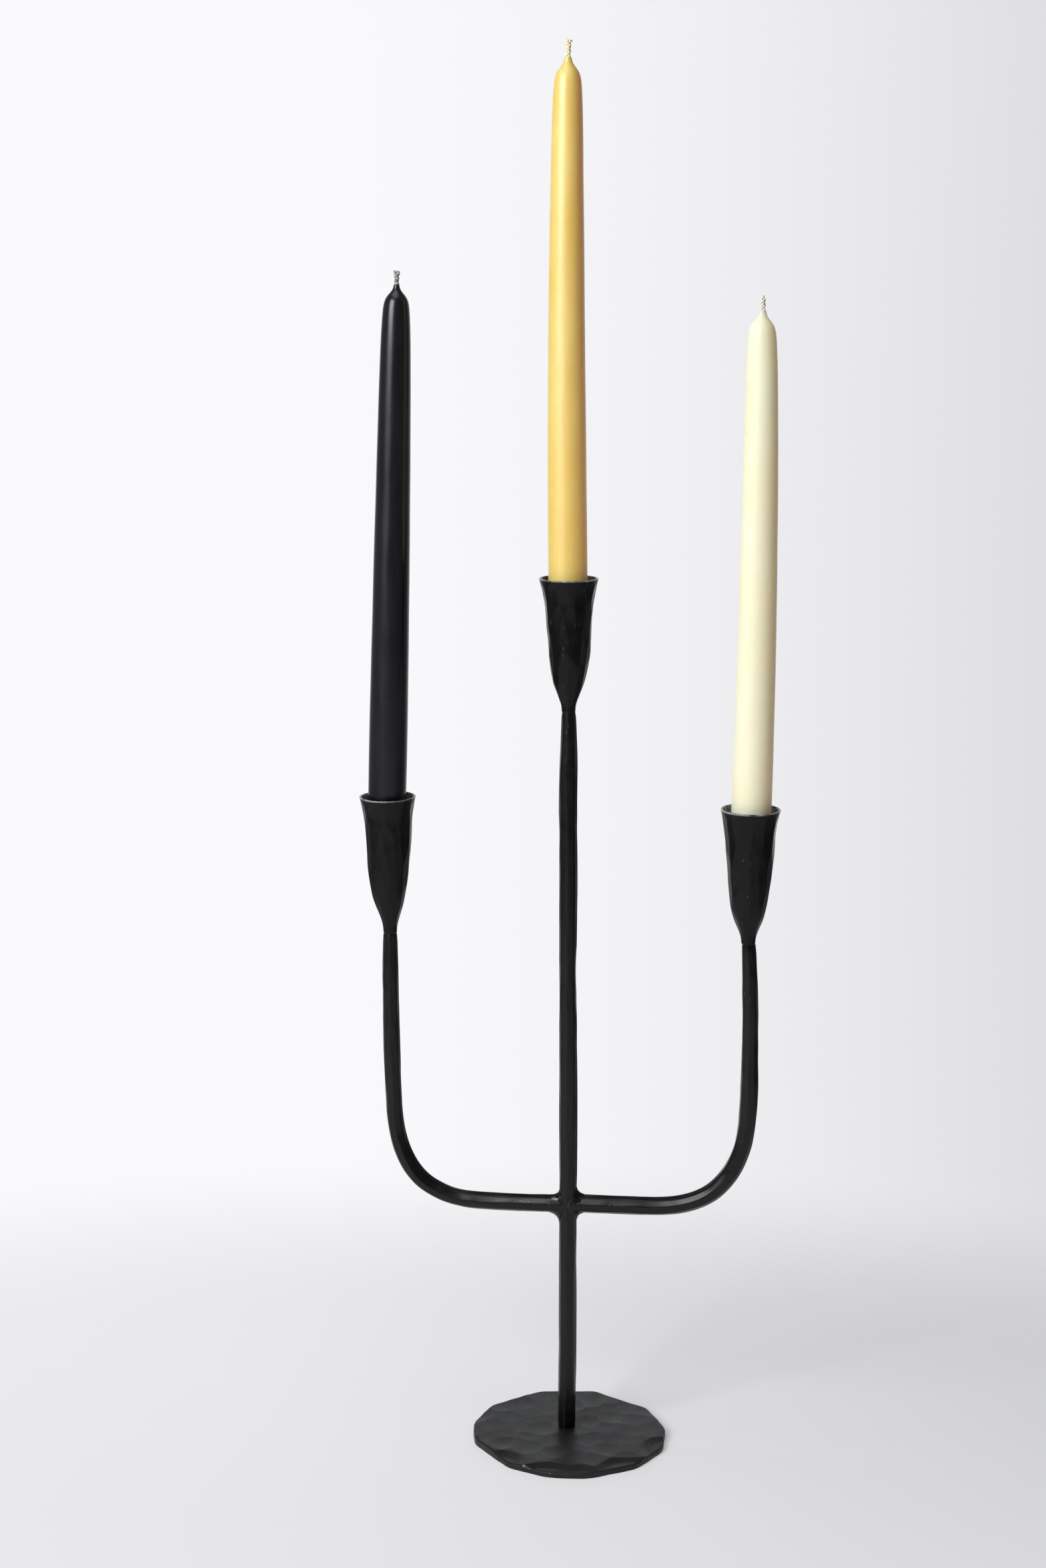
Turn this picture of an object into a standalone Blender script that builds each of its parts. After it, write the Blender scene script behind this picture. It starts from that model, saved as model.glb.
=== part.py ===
"""Three-light candelabrum forged from round iron bar, with three dipped tapers.

Metres, +Z up. The origin is the centre of the foot plate's underside. X runs along the two side
arms, with the left arm towards -X, and the three cups lie in one plane parallel to XZ.
"""

from collections import namedtuple
from math import cos, exp, pi, radians, sin, sqrt, tan

import bmesh
import bpy
import numpy as np
from mathutils import Matrix, Vector
from mathutils.geometry import interpolate_bezier

# Driving dimensions, in metres and degrees
GAP = 0.0003
PLATE_THICKNESS = 0.0048
PLATE_EDGE_BEVEL = 0.0014
PLATE_CORNER_ROUND = 0.024
# The twelve corners between the hammered flats of the plate's edge: bearing, distance from centre
PLATE_CORNERS = (
    (13, 0.0569), (43, 0.0564), (85, 0.0579), (118, 0.0575), (153, 0.0584), (178, 0.0586),
    (200, 0.0576), (238, 0.0552), (266, 0.0557), (290, 0.0562), (322, 0.0572), (350, 0.0578),
)

STEM_X = -0.003
STEM_Y = 0.005
BAR_RADIUS = 0.0049
DRAWN_LENGTH = 0.018
TENON_RADIUS = 0.0022
TENON_LENGTH = 0.008
EDGE_BREAK = 0.0004

CROSS_HEIGHT = 0.1439
CROSS_TILT = 1.6
BEND_PULL = 0.7
BEND_STEPS = 14
WELD_REACH = 0.0068
WELD_SKIN = 0.00035
WELD_SIDE_SWELL = 0.0006
WELD_SIDES = 32
WELD_INNER_END = 0.0022
# Rings of a weld, from the stem's surface outwards: share of its reach
WELD_RINGS = (0.0, 0.10, 0.22, 0.40, 0.65, 1.0)

SCREW_RADIUS = 0.0025
SCREW_HEAD_RADIUS = 0.00465
SCREW_LENGTH = 0.016
SCREW_HEX_ACROSS_FLATS = 0.003
SCREW_HEX_DEPTH = 0.0018
SCREW_RECESS = 0.0003
SCREW_HOLE_SPARE = 0.0015

CUP_WALL = 0.0017
CUP_FLOOR = 0.0130
CUP_FLOOR_ROUND = 0.75
# Outer outline of every cup, from neck to lip: share of its height, share of its rim radius
CUP_OUTLINE = (
    (0.00, 0.230), (0.07, 0.300), (0.17, 0.480), (0.29, 0.635),
    (0.45, 0.730), (0.70, 0.815), (0.87, 0.885), (1.00, 1.000),
)
# Rings of a cup's inner wall: share of the way from its floor to its lip
CUP_INNER_RINGS = (0.05, 0.14, 0.28, 0.45, 0.65, 0.82, 0.93, 1.0)

CANDLE_LENGTH = 0.3025
WICK_RADIUS = 0.0012
# Outline of a taper below its wax neck: distance down from the neck's top, share of its full radius
CANDLE_SHOULDER = (
    (0.0000, 0.165), (0.0025, 0.215), (0.0040, 0.310), (0.0055, 0.420), (0.0070, 0.520),
    (0.0085, 0.585), (0.0105, 0.635), (0.0140, 0.675), (0.0200, 0.720), (0.0420, 0.785),
    (0.0700, 0.830), (0.1300, 0.905), (0.2000, 0.968), (0.2500, 1.000),
)
CANDLE_BUTT_SHARE = 0.955
CANDLE_BUTT_LENGTH = 0.012
CANDLE_BUTT_CHAMFER = 0.001
WICK_BOW = 0.0005

ROUND_STEPS = 24
BAR_RING_RESOLUTION = 6

# One record for each light: foot is where the cup's neck stands, measured from the stem's axis and
# from the table, and each lean turns its axis towards +X
Light = namedtuple(
    "Light",
    "name foot_x foot_z cup_lean cup_height rim_radius candle_lean sunk candle_radius wick_length",
)
CENTRE = Light("centre", 0.0, 0.4364, -0.35, 0.0738, 0.0168, -0.23, 0.022, 0.0110, 0.0093)
LEFT = Light("left", -0.1042, 0.3038, -0.73, 0.0788, 0.01635, 1.65, 0.014, 0.01095, 0.0077)
RIGHT = Light("right", 0.1034, 0.3066, -0.10, 0.0760, 0.0170, 0.36, 0.028, 0.01125, 0.0084)

# One record for each arm: side is -1 to the left and +1 to the right. The bend takes bend_run of the
# level run and bend_rise of the leg, both measured from the corner where their lines would meet
Arm = namedtuple("Arm", "name side light leg_lean bend_run bend_rise weld_top weld_bottom")
ARMS = (
    Arm("left_arm", -1, LEFT, -0.60, 0.054, 0.064, 0.0036, 0.0064),
    Arm("right_arm", 1, RIGHT, -1.30, 0.058, 0.076, 0.0046, 0.0046),
)


def new_collection(name, hidden=False):
    collection = bpy.data.collections.new(name)
    bpy.context.scene.collection.children.link(collection)
    collection.hide_render = hidden
    return collection


def clear_scene():
    for obj in list(bpy.data.objects):
        bpy.data.objects.remove(obj, do_unlink=True)


def surface(name, colour, roughness, metallic):
    material = bpy.data.materials.new(name)
    material.use_nodes = True
    shader = material.node_tree.nodes["Principled BSDF"]
    shader.inputs["Base Color"].default_value = (*colour, 1.0)
    shader.inputs["Roughness"].default_value = roughness
    shader.inputs["Metallic"].default_value = metallic
    return material


def add_part(name, data, material):
    """Puts mesh or curve data into the candelabrum as one named part, carried by the stem's axis."""
    obj = bpy.data.objects.new(name, data)
    candelabrum.objects.link(obj)
    data.materials.append(material)
    obj.parent = stem_axis
    return obj


def shade(obj, sharp_angle=35):
    obj.data.shade_smooth()
    obj.data.set_sharp_from_angle(angle=radians(sharp_angle))


def turned(name, outline, material, steps=ROUND_STEPS):
    """A part turned about Z from an outline of (radius, height) that runs down its outer side."""
    mesh = bpy.data.meshes.new(name)
    edges = [(i, i + 1) for i in range(len(outline) - 1)]
    mesh.from_pydata([(r, 0.0, z) for r, z in outline], edges, [])
    obj = add_part(name, mesh, material)
    screw = obj.modifiers.new("Turn", "SCREW")
    screw.axis = "Z"
    screw.steps = steps
    screw.render_steps = steps
    screw.use_merge_vertices = True
    screw.merge_threshold = 0.00001
    screw.use_smooth_shade = True
    return obj


def smooth_through(stations, steps):
    """A Catmull-Rom curve through hand-placed stations, with this many steps between neighbours."""
    points = [Vector(station) for station in stations]
    ends = [2 * points[0] - points[1]] + points + [2 * points[-1] - points[-2]]
    curve = []
    for p0, p1, p2, p3 in zip(ends, ends[1:], ends[2:], ends[3:]):
        for step in range(steps):
            t = step / steps
            bend = 2 * p0 - 5 * p1 + 4 * p2 - p3
            twist = 3 * p1 - p0 - 3 * p2 + p3
            curve.append((2 * p1 + (p2 - p0) * t + bend * t**2 + twist * t**3) / 2)
    return curve + [points[-1]]


def fillet(before, corner, after, radius, steps):
    """The arc of this radius that rounds a 2D corner, from the first leg's tangent to the second's."""
    back = (before - corner).normalized()
    on = (after - corner).normalized()
    half_angle = back.angle(on) / 2
    centre = corner + (back + on).normalized() * radius / sin(half_angle)
    start = corner + back * radius / tan(half_angle) - centre
    sweep = back.angle_signed(on)
    turn = (pi - abs(sweep)) * (1 if sweep > 0 else -1)
    return [centre + Matrix.Rotation(turn * i / steps, 2) @ start for i in range(steps + 1)]


def drawn_radius(distance, light):
    """Radius of a bar at a distance below its cup, where the smith drew it down to the cup's neck."""
    neck = CUP_OUTLINE[0][1] * light.rim_radius
    return BAR_RADIUS - (BAR_RADIUS - neck) * exp(-distance / DRAWN_LENGTH)


def leaning(degrees_to_x):
    """Unit vector of an axis that leans this far from +Z towards +X."""
    return Vector((sin(radians(degrees_to_x)), 0.0, cos(radians(degrees_to_x))))


def rim_centre(light):
    return Vector((light.foot_x, 0.0, light.foot_z)) + leaning(light.cup_lean) * light.cup_height


def cutter_mesh(name, mesh, matrix):
    """A hidden tool for a Boolean, in the cutters' collection."""
    obj = bpy.data.objects.new(name, mesh)
    cutters.objects.link(obj)
    obj.parent = stem_axis
    obj.matrix_local = matrix
    obj.hide_render = True
    obj.display_type = "WIRE"
    return obj


def round_cutter(name, radius, length, matrix, sides=32):
    """A cylinder along Z with its middle at the matrix's origin."""
    mesh = bpy.data.meshes.new(name)
    shape = bmesh.new()
    bmesh.ops.create_cone(
        shape, cap_ends=True, segments=sides, radius1=radius, radius2=radius, depth=length
    )
    shape.to_mesh(mesh)
    shape.free()
    return cutter_mesh(name, mesh, matrix)


def cut(obj, cutter):
    boolean = obj.modifiers.new("Cut " + cutter.name, "BOOLEAN")
    boolean.operation = "DIFFERENCE"
    boolean.solver = "EXACT"
    boolean.object = cutter


def as_mesh(curve_obj):
    """Turns a curve part into a mesh part of the same name, with its caps welded on."""
    bpy.context.view_layer.update()
    graph = bpy.context.evaluated_depsgraph_get()
    mesh = bpy.data.meshes.new_from_object(curve_obj.evaluated_get(graph))
    shape = bmesh.new()
    shape.from_mesh(mesh)
    bmesh.ops.remove_doubles(shape, verts=shape.verts, dist=0.000001)
    bmesh.ops.recalc_face_normals(shape, faces=shape.faces)
    shape.to_mesh(mesh)
    shape.free()
    name = curve_obj.name
    material = curve_obj.data.materials[0]
    bpy.data.objects.remove(curve_obj, do_unlink=True)
    mesh.materials.clear()
    return add_part(name, mesh, material)


def round_bar(name, points, radii, material, ring_resolution=BAR_RING_RESOLUTION):
    """A round bar along 3D points, with its own radius at each of them."""
    curve = bpy.data.curves.new(name, "CURVE")
    curve.dimensions = "3D"
    curve.bevel_depth = 1.0
    curve.bevel_resolution = ring_resolution
    curve.use_fill_caps = True
    spline = curve.splines.new("POLY")
    spline.points.add(len(points) - 1)
    for spot, point, radius in zip(spline.points, points, radii):
        spot.co = (*point, 1.0)
        spot.radius = radius
    return add_part(name, curve, material)


def make_base_plate():
    """Thick round plate whose edge is hammered into flats, with a countersunk hole from below."""
    corners = [Vector((r * cos(radians(a)), r * sin(radians(a)))) for a, r in PLATE_CORNERS]
    outline = []
    for i, corner in enumerate(corners):
        following = corners[(i + 1) % len(corners)]
        outline += fillet(corners[i - 1], corner, following, PLATE_CORNER_ROUND, 3)
    curve = bpy.data.curves.new("base_plate", "CURVE")
    curve.dimensions = "2D"
    curve.fill_mode = "BOTH"
    curve.extrude = PLATE_THICKNESS / 2
    spline = curve.splines.new("POLY")
    spline.use_cyclic_u = True
    spline.points.add(len(outline) - 1)
    for spot, point in zip(spline.points, outline):
        spot.co = (*point, 0.0, 1.0)
    plate = as_mesh(add_part("base_plate", curve, forged_iron))
    plate.parent = None
    plate.location = (0.0, 0.0, PLATE_THICKNESS / 2)
    edge = plate.modifiers.new("Hammered edge", "BEVEL")
    edge.width = PLATE_EDGE_BEVEL
    edge.segments = 2
    edge.limit_method = "ANGLE"
    edge.angle_limit = radians(60)
    through = Matrix.Translation((0, 0, PLATE_THICKNESS))
    hole = round_cutter("plate_hole", SCREW_RADIUS + GAP, 3 * PLATE_THICKNESS, through)
    cone = bpy.data.meshes.new("plate_countersink")
    shape = bmesh.new()
    # A 90 degree cone that starts a little below the plate and stops inside the through hole
    below = 2 * GAP
    wide = SCREW_HEAD_RADIUS + GAP * sqrt(2) + below
    narrow = SCREW_RADIUS / 2
    bmesh.ops.create_cone(
        shape, cap_ends=True, segments=32, radius1=wide, radius2=narrow, depth=wide - narrow
    )
    shape.to_mesh(cone)
    shape.free()
    middle = SCREW_RECESS - below + (wide - narrow) / 2
    sink = cutter_mesh("plate_countersink", cone, Matrix.Translation((0, 0, middle)))
    cut(plate, hole)
    cut(plate, sink)
    shade(plate)


def make_base_screw():
    """Countersunk M5 screw with a hexagon socket, driven up through the plate into the stem."""
    foot = SCREW_RECESS
    tip = foot + SCREW_LENGTH
    cone_top = foot + SCREW_HEAD_RADIUS - SCREW_RADIUS
    chamfer = SCREW_RADIUS * 0.3
    outline = [
        (0.0, tip), (SCREW_RADIUS - chamfer, tip), (SCREW_RADIUS, tip - chamfer),
        (SCREW_RADIUS, cone_top), (SCREW_HEAD_RADIUS, foot), (0.0, foot),
    ]
    screw = turned("base_screw", outline, bright_steel)
    corner_radius = SCREW_HEX_ACROSS_FLATS / sqrt(3)
    head = Matrix.Translation((0, 0, foot))
    socket = round_cutter("screw_socket", corner_radius, 2 * SCREW_HEX_DEPTH, head, sides=6)
    cut(screw, socket)


def make_stem():
    """Bar from the plate to the centre cup, drilled and tapped in its foot, with a tenon on top."""
    foot = PLATE_THICKNESS + GAP
    shoulder = CENTRE.foot_z - GAP
    top = shoulder + TENON_LENGTH
    hole = SCREW_RADIUS + GAP
    hole_top = SCREW_RECESS + SCREW_LENGTH + SCREW_HOLE_SPARE
    drill_point = hole * tan(radians(31))
    outline = [
        (0.0, top), (TENON_RADIUS - EDGE_BREAK, top),
        (TENON_RADIUS, top - EDGE_BREAK), (TENON_RADIUS, shoulder),
    ]
    for distance in (0.0, 0.006, 0.014, 0.026, 0.045, 0.08):
        outline.append((drawn_radius(distance, CENTRE), shoulder - distance))
    outline += [
        (BAR_RADIUS, foot + EDGE_BREAK), (BAR_RADIUS - EDGE_BREAK, foot), (hole, foot),
        (hole, hole_top), (0.0, hole_top + drill_point),
    ]
    shade(turned("centre_stem", outline, forged_iron))


def cross_point(side, distance):
    """Point of the two arms' common centre line, at a distance out from the stem's axis."""
    return Vector((side * distance, CROSS_HEIGHT + side * distance * tan(radians(CROSS_TILT))))


def make_arm(arm):
    """Bar that leaves the stem level, turns up in one bend and ends in a tenon under its cup."""
    light = arm.light
    neck = Vector((light.foot_x, light.foot_z - GAP))
    leg = Vector((sin(radians(arm.leg_lean)), cos(radians(arm.leg_lean))))
    start = cross_point(arm.side, 0.0)
    run = (cross_point(arm.side, 1.0) - start).normalized()
    # The corner is where the level run's line meets the leg's line
    offset = neck - start
    along = (offset.x * leg.y - offset.y * leg.x) / (run.x * leg.y - run.y * leg.x)
    corner = start + run * along
    bend_start = corner - run * arm.bend_run
    bend_end = corner + leg * arm.bend_rise
    bend = interpolate_bezier(
        bend_start, bend_start.lerp(corner, BEND_PULL), bend_end.lerp(corner, BEND_PULL), bend_end,
        BEND_STEPS,
    )
    path = [start] + bend
    radii = [BAR_RADIUS] * len(path)
    for distance in (0.060, 0.035, 0.020, 0.011, 0.004, 0.0):
        path.append(neck - leg * distance)
        radii.append(drawn_radius(distance, light))
    for distance in (GAP / 3, TENON_LENGTH):
        path.append(neck + leg * distance)
        radii.append(TENON_RADIUS)
    bar = as_mesh(round_bar(arm.name, [(p.x, 0.0, p.y) for p in path], radii, forged_iron))
    cut(bar, stem_bore)
    shade(bar)
    return bar


def make_weld(arm):
    """Fillet all round an arm's joint, tall above and below it and only a skin at front and back."""
    face = BAR_RADIUS + GAP
    shape = bmesh.new()
    rings = []
    for out in (WELD_INNER_END, *[face + WELD_REACH * share for share in WELD_RINGS]):
        ring = []
        for i in range(WELD_SIDES):
            angle = 2 * pi * i / WELD_SIDES
            # The fillet is a quarter circle from the stem's face to the arm
            fillet_radius = arm.weld_top if sin(angle) > 0 else arm.weld_bottom
            left = 1 - min(max((out - face) / fillet_radius, 0.0), 1.0)
            rise = fillet_radius * (1 - sqrt(1 - left**2))
            up = (face + WELD_SKIN + rise) * sin(angle)
            across = (face + WELD_SKIN + WELD_SIDE_SWELL * left) * cos(angle)
            ring.append(shape.verts.new((arm.side * out, across, up)))
        rings.append(ring)
    for first, second in zip(rings, rings[1:]):
        for i in range(WELD_SIDES):
            shape.faces.new((first[i - 1], first[i], second[i], second[i - 1]))
    shape.faces.new(rings[0])
    shape.faces.new(rings[-1])
    bmesh.ops.recalc_face_normals(shape, faces=shape.faces)
    mesh = bpy.data.meshes.new(arm.name + "_weld")
    shape.to_mesh(mesh)
    shape.free()
    weld = add_part(arm.name + "_weld", mesh, forged_iron)
    along_arm = Matrix.Translation((0, 0, CROSS_HEIGHT)) @ Matrix.Rotation(
        radians(-CROSS_TILT), 4, "Y"
    )
    weld.matrix_local = along_arm
    arm_bore = round_cutter(
        arm.name + "_bore", face, 16 * BAR_RADIUS,
        along_arm @ Matrix.Rotation(pi / 2, 4, "Y"),
    )
    cut(weld, stem_bore)
    cut(weld, arm_bore)
    shade(weld, 50)


def make_cup(light):
    """Tulip cup: a thin flared shell over a solid neck, with a blind socket for the bar's tenon."""
    rim = light.rim_radius
    height = light.cup_height
    outer = [Vector((r * rim, t * height)) for t, r in CUP_OUTLINE]
    outer = smooth_through(outer, 2)
    heights = [p.y for p in outer]
    radii = [p.x for p in outer]
    lip = CUP_WALL / 2
    inner = []
    for share in CUP_INNER_RINGS:
        z = CUP_FLOOR + (height - lip - CUP_FLOOR) * share
        inner.append((float(np.interp(z, heights, radii)) - CUP_WALL, z))
    outline = [(0.0, CUP_FLOOR), (inner[0][0] * CUP_FLOOR_ROUND, CUP_FLOOR)] + inner
    # The lip is rounded over, highest a little inside its outer edge
    outline += [
        (rim - lip * 1.4, height - lip * 0.2), (rim - lip * 0.6, height),
        (rim - lip * 0.15, height - lip * 0.5),
    ]
    outline += [(p.x, p.y) for p in reversed(outer[:-1])]
    socket = TENON_RADIUS + GAP
    socket_top = TENON_LENGTH + GAP
    outline += [(socket, 0.0), (socket, socket_top), (0.0, socket_top)]
    cup = turned(light.name + "_cup", outline, forged_iron)
    cup.location = (light.foot_x, 0.0, light.foot_z)
    cup.rotation_euler = (0.0, radians(light.cup_lean), 0.0)
    shade(cup)


def make_candle(light, wax):
    """Dipped taper with a wax neck and a bore for its wick; its origin is on its axis, at the butt."""
    radius = light.candle_radius
    bore = WICK_RADIUS + GAP
    outline = [(radius * share, CANDLE_LENGTH - down) for down, share in CANDLE_SHOULDER]
    butt = radius * CANDLE_BUTT_SHARE
    outline += [
        (radius, CANDLE_BUTT_LENGTH), (butt, CANDLE_BUTT_CHAMFER),
        (butt - CANDLE_BUTT_CHAMFER, 0.0), (bore, 0.0), (bore, CANDLE_LENGTH), outline[0],
    ]
    candle = turned(light.name + "_candle", outline, wax)
    rim = rim_centre(light)
    candle.location = rim - leaning(light.candle_lean) * light.sunk
    candle.rotation_euler = (0.0, radians(light.candle_lean), 0.0)
    shade(candle)
    return candle


def make_wick(light, candle):
    """Wick through the whole candle, bowed a little where it stands free above the wax."""
    points = [(0.0, 0.0, GAP)]
    for share in (0.0, 0.5, 1.0):
        points.append((WICK_BOW * share**2, 0.0, CANDLE_LENGTH + light.wick_length * share))
    name = light.name + "_wick"
    wick = round_bar(name, points, [WICK_RADIUS] * len(points), cotton, ring_resolution=2)
    wick.parent = candle


clear_scene()
candelabrum = new_collection("candelabrum")
cutters = new_collection("cutters", hidden=True)
stem_axis = bpy.data.objects.new("stem_axis", None)
stem_axis.location = (STEM_X, STEM_Y, 0.0)
candelabrum.objects.link(stem_axis)

forged_iron = surface("forged iron", (0.022, 0.022, 0.024), 0.5, 0.85)
bright_steel = surface("zinc-plated steel", (0.55, 0.56, 0.58), 0.35, 1.0)
cotton = surface("waxed cotton", (0.78, 0.72, 0.60), 0.8, 0.0)
honey_wax = surface("honey wax", (0.78, 0.45, 0.12), 0.5, 0.0)
black_wax = surface("black wax", (0.020, 0.021, 0.024), 0.45, 0.0)
ivory_wax = surface("ivory wax", (0.86, 0.80, 0.68), 0.5, 0.0)

stem_bore = round_cutter(
    "stem_bore", BAR_RADIUS + GAP, 0.12, Matrix.Translation((0, 0, CROSS_HEIGHT))
)
make_base_plate()
make_base_screw()
make_stem()
for side_arm in ARMS:
    make_arm(side_arm)
    make_weld(side_arm)
for lit, wax_colour in ((CENTRE, honey_wax), (LEFT, black_wax), (RIGHT, ivory_wax)):
    make_cup(lit)
    make_wick(lit, make_candle(lit, wax_colour))
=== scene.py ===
"""Looks of the forged three-light candelabrum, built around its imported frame.

Metres, +Z up, in the frame's own axes: the origin is under the middle of the foot plate and the two
side arms run along X. The file follows the candelabrum as it is put together, from the foot up.
"""

from math import cos, pi, radians, sin, sqrt, tan

import bpy
import numpy as np
from mathutils import Matrix, Vector


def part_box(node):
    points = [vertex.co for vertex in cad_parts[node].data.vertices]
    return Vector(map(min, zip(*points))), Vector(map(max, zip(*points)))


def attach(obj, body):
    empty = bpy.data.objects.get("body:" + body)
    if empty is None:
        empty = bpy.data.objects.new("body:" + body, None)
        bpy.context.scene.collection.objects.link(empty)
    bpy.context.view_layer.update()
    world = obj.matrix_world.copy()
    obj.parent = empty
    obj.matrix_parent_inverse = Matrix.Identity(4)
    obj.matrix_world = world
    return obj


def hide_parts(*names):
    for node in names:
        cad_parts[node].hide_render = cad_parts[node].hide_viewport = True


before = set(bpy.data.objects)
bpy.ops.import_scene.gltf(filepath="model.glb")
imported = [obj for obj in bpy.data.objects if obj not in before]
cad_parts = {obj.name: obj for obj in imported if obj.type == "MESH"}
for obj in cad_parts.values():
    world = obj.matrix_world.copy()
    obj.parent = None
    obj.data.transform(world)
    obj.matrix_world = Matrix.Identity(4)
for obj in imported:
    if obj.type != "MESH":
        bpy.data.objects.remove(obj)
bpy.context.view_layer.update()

# ------------------------------------------------------------
# The studio: a portrait lens a little above the cups, a pale sweep of floor, one big soft window of
# light from the left, a weaker one overhead, and pale surroundings behind the candelabrum.

CAMERA_PLACE = (0.2205, -1.4107, 0.6740)
CAMERA_DOWN = 11.08
CAMERA_TURN = 10.0
LENS_MM = 59.26

lens = bpy.data.cameras.new("studio_camera")
lens.lens = LENS_MM
lens.clip_end = 200.0
camera = bpy.data.objects.new("studio_camera", lens)
camera.location = CAMERA_PLACE
camera.rotation_euler = (radians(90 - CAMERA_DOWN), 0, radians(CAMERA_TURN))
bpy.context.scene.collection.objects.link(camera)
bpy.context.scene.camera = camera
bpy.context.scene.view_settings.view_transform = "Standard"


class Shade:
    """One value inside a material's nodes. Arithmetic on it adds Math nodes."""

    def __init__(self, tree, socket=None):
        self.tree = tree
        self.socket = socket

    def node(self, kind, settings=None, inputs=None, output=0):
        """Adds a node with its settings made first, then its inputs: numbers, colours or links."""
        made = self.tree.nodes.new(kind)
        for key, value in (settings or {}).items():
            if key == "stops":
                ramp = made.color_ramp.elements
                while len(ramp) < len(value):
                    ramp.new(1.0)
                for stop, (place, colour) in zip(ramp, value):
                    stop.position = place
                    stop.color = colour
            else:
                setattr(made, key, value)
        for key, value in (inputs or {}).items():
            self.feed(made.inputs[key], value)
        return Shade(self.tree, made.outputs[output] if made.outputs else None)

    def feed(self, socket, value):
        if isinstance(value, Shade):
            self.tree.links.new(value.socket, socket)
        else:
            socket.default_value = value

    def math(self, operation, *values):
        return self.node("ShaderNodeMath", {"operation": operation}, dict(enumerate(values)))

    def __add__(self, other):
        return self.math("ADD", self, other)

    def __sub__(self, other):
        return self.math("SUBTRACT", self, other)

    def __rsub__(self, other):
        return self.math("SUBTRACT", other, self)

    def __mul__(self, other):
        return self.math("MULTIPLY", self, other)

    __radd__ = __add__
    __rmul__ = __mul__

    def between(self, low, high):
        """0 below low, 1 above high, and a smooth rise from one to the other."""
        settings = {"interpolation_type": "SMOOTHSTEP"}
        inputs = {"Value": self, "From Min": low, "From Max": high}
        return self.node("ShaderNodeMapRange", settings, inputs)

    def place(self):
        """Places on the piece as it was made, in metres."""
        return self.node("ShaderNodeTexCoord", output=3)

    def kept(self, name):
        """A number kept at each point of the mesh."""
        return self.node("ShaderNodeAttribute", {"attribute_name": name}, output=2)

    def part(self, vector, axis):
        return self.node("ShaderNodeSeparateXYZ", None, {0: vector}, output=axis)

    def noise(self, place, scale, detail=2.0, roughness=0.5):
        inputs = {"Vector": place, "Scale": scale, "Detail": detail, "Roughness": roughness}
        return self.node("ShaderNodeTexNoise", None, inputs)

    def stretched(self, place, scale, turn=(0.0, 0.0, 0.0)):
        """The same places, turned and scaled, so that a pattern is drawn out along an axis."""
        inputs = {"Vector": place, "Scale": scale, "Rotation": turn}
        return self.node("ShaderNodeMapping", None, inputs)

    def mix(self, factor, first, second):
        """A colour between two others."""
        inputs = {"Factor": factor, 6: first, 7: second}
        return self.node("ShaderNodeMix", {"data_type": "RGBA"}, inputs, output=2)

    def bump(self, height, distance, strength=1.0, under=None):
        inputs = {"Height": height, "Distance": distance, "Strength": strength}
        if under:
            inputs["Normal"] = under
        return self.node("ShaderNodeBump", None, inputs)


def new_material(name, **settings):
    """A material with its Principled shader's own settings, and a Shade to build the rest with."""
    material = bpy.data.materials.new(name)
    material.use_nodes = True
    shader = material.node_tree.nodes["Principled BSDF"]
    for key, value in settings.items():
        shader.inputs[key.replace("_", " ")].default_value = value
    return material, shader, Shade(material.node_tree)


def surface(shader, shade, colour, roughness, skin):
    shade.feed(shader.inputs["Base Color"], colour)
    shade.feed(shader.inputs["Roughness"], roughness)
    shade.feed(shader.inputs["Normal"], skin)


FLOOR_RADIUS = 1.5
FLOOR_MIDDLE = (0, -0.6, 0)
# Floor colours carry painted shade, darker to the right and near the lens, and FLOOR_GLOW is painted
# light
FLOOR_LEFT = (0.74, 0.74, 0.755, 1.0)
FLOOR_RIGHT = (0.52, 0.517, 0.535, 1.0)
FLOOR_NEAR = (0.60, 0.598, 0.612, 1.0)
FLOOR_GLOW = 0.26
# Backdrop colours: the darker right is painted shade
BACK_LEFT = (0.955, 0.950, 0.975, 1.0)
BACK_RIGHT = (0.560, 0.555, 0.585, 1.0)
WORLD_WALL = 0.95
WORLD_LEFT = 0.14
WORLD_LEAST = 0.13
WINDOW_PLACE = (-1.00, -1.54, 1.36)
WINDOW_SIZE = (1.1, 1.3)
WINDOW_WATTS = 42.0
OVERHEAD_PLACE = (-0.3, -0.2, 2.4)
OVERHEAD_SIZE = (1.6, 1.2)
OVERHEAD_WATTS = 10.0

# A round sheet of pale paper that fades into the surroundings well away from the foot
bpy.ops.object.select_all(action="DESELECT")
bpy.ops.mesh.primitive_circle_add(
    vertices=96, radius=FLOOR_RADIUS, fill_type="NGON", location=FLOOR_MIDDLE
)
floor = bpy.context.object
floor.name = "studio_floor"
# The paper's glow is painted light: it lifts the floor and softens its shadows
paper, paper_shader, shade = new_material(
    "pale paper", Roughness=0.9, Specular_IOR_Level=0.1,
    Emission_Color=(1.0, 1.0, 1.02, 1.0), Emission_Strength=FLOOR_GLOW,
)
spot = shade.place()
across = shade.part(spot, 0)
far = shade.part(spot, 1)
away = shade.node("ShaderNodeVectorMath", {"operation": "LENGTH"}, {0: spot}, output=1)
# Painted shade: the paper darkens to the right and towards the lens, where the light falls off
sweep = shade.mix(across.between(-0.25, 0.45), FLOOR_LEFT, FLOOR_RIGHT)
floor_colour = shade.mix(far.between(0.34, 0.86), FLOOR_NEAR, sweep)
shade.feed(paper_shader.inputs["Base Color"], floor_colour)
clear = shade.node("ShaderNodeBsdfTransparent")
fading = shade.node(
    "ShaderNodeMixShader", None,
    {0: away.between(0.78, 1.10), 1: Shade(paper.node_tree, paper_shader.outputs[0]), 2: clear},
)
shade.feed(paper.node_tree.nodes["Material Output"].inputs["Surface"], fading)
floor.data.materials.append(paper)

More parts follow.
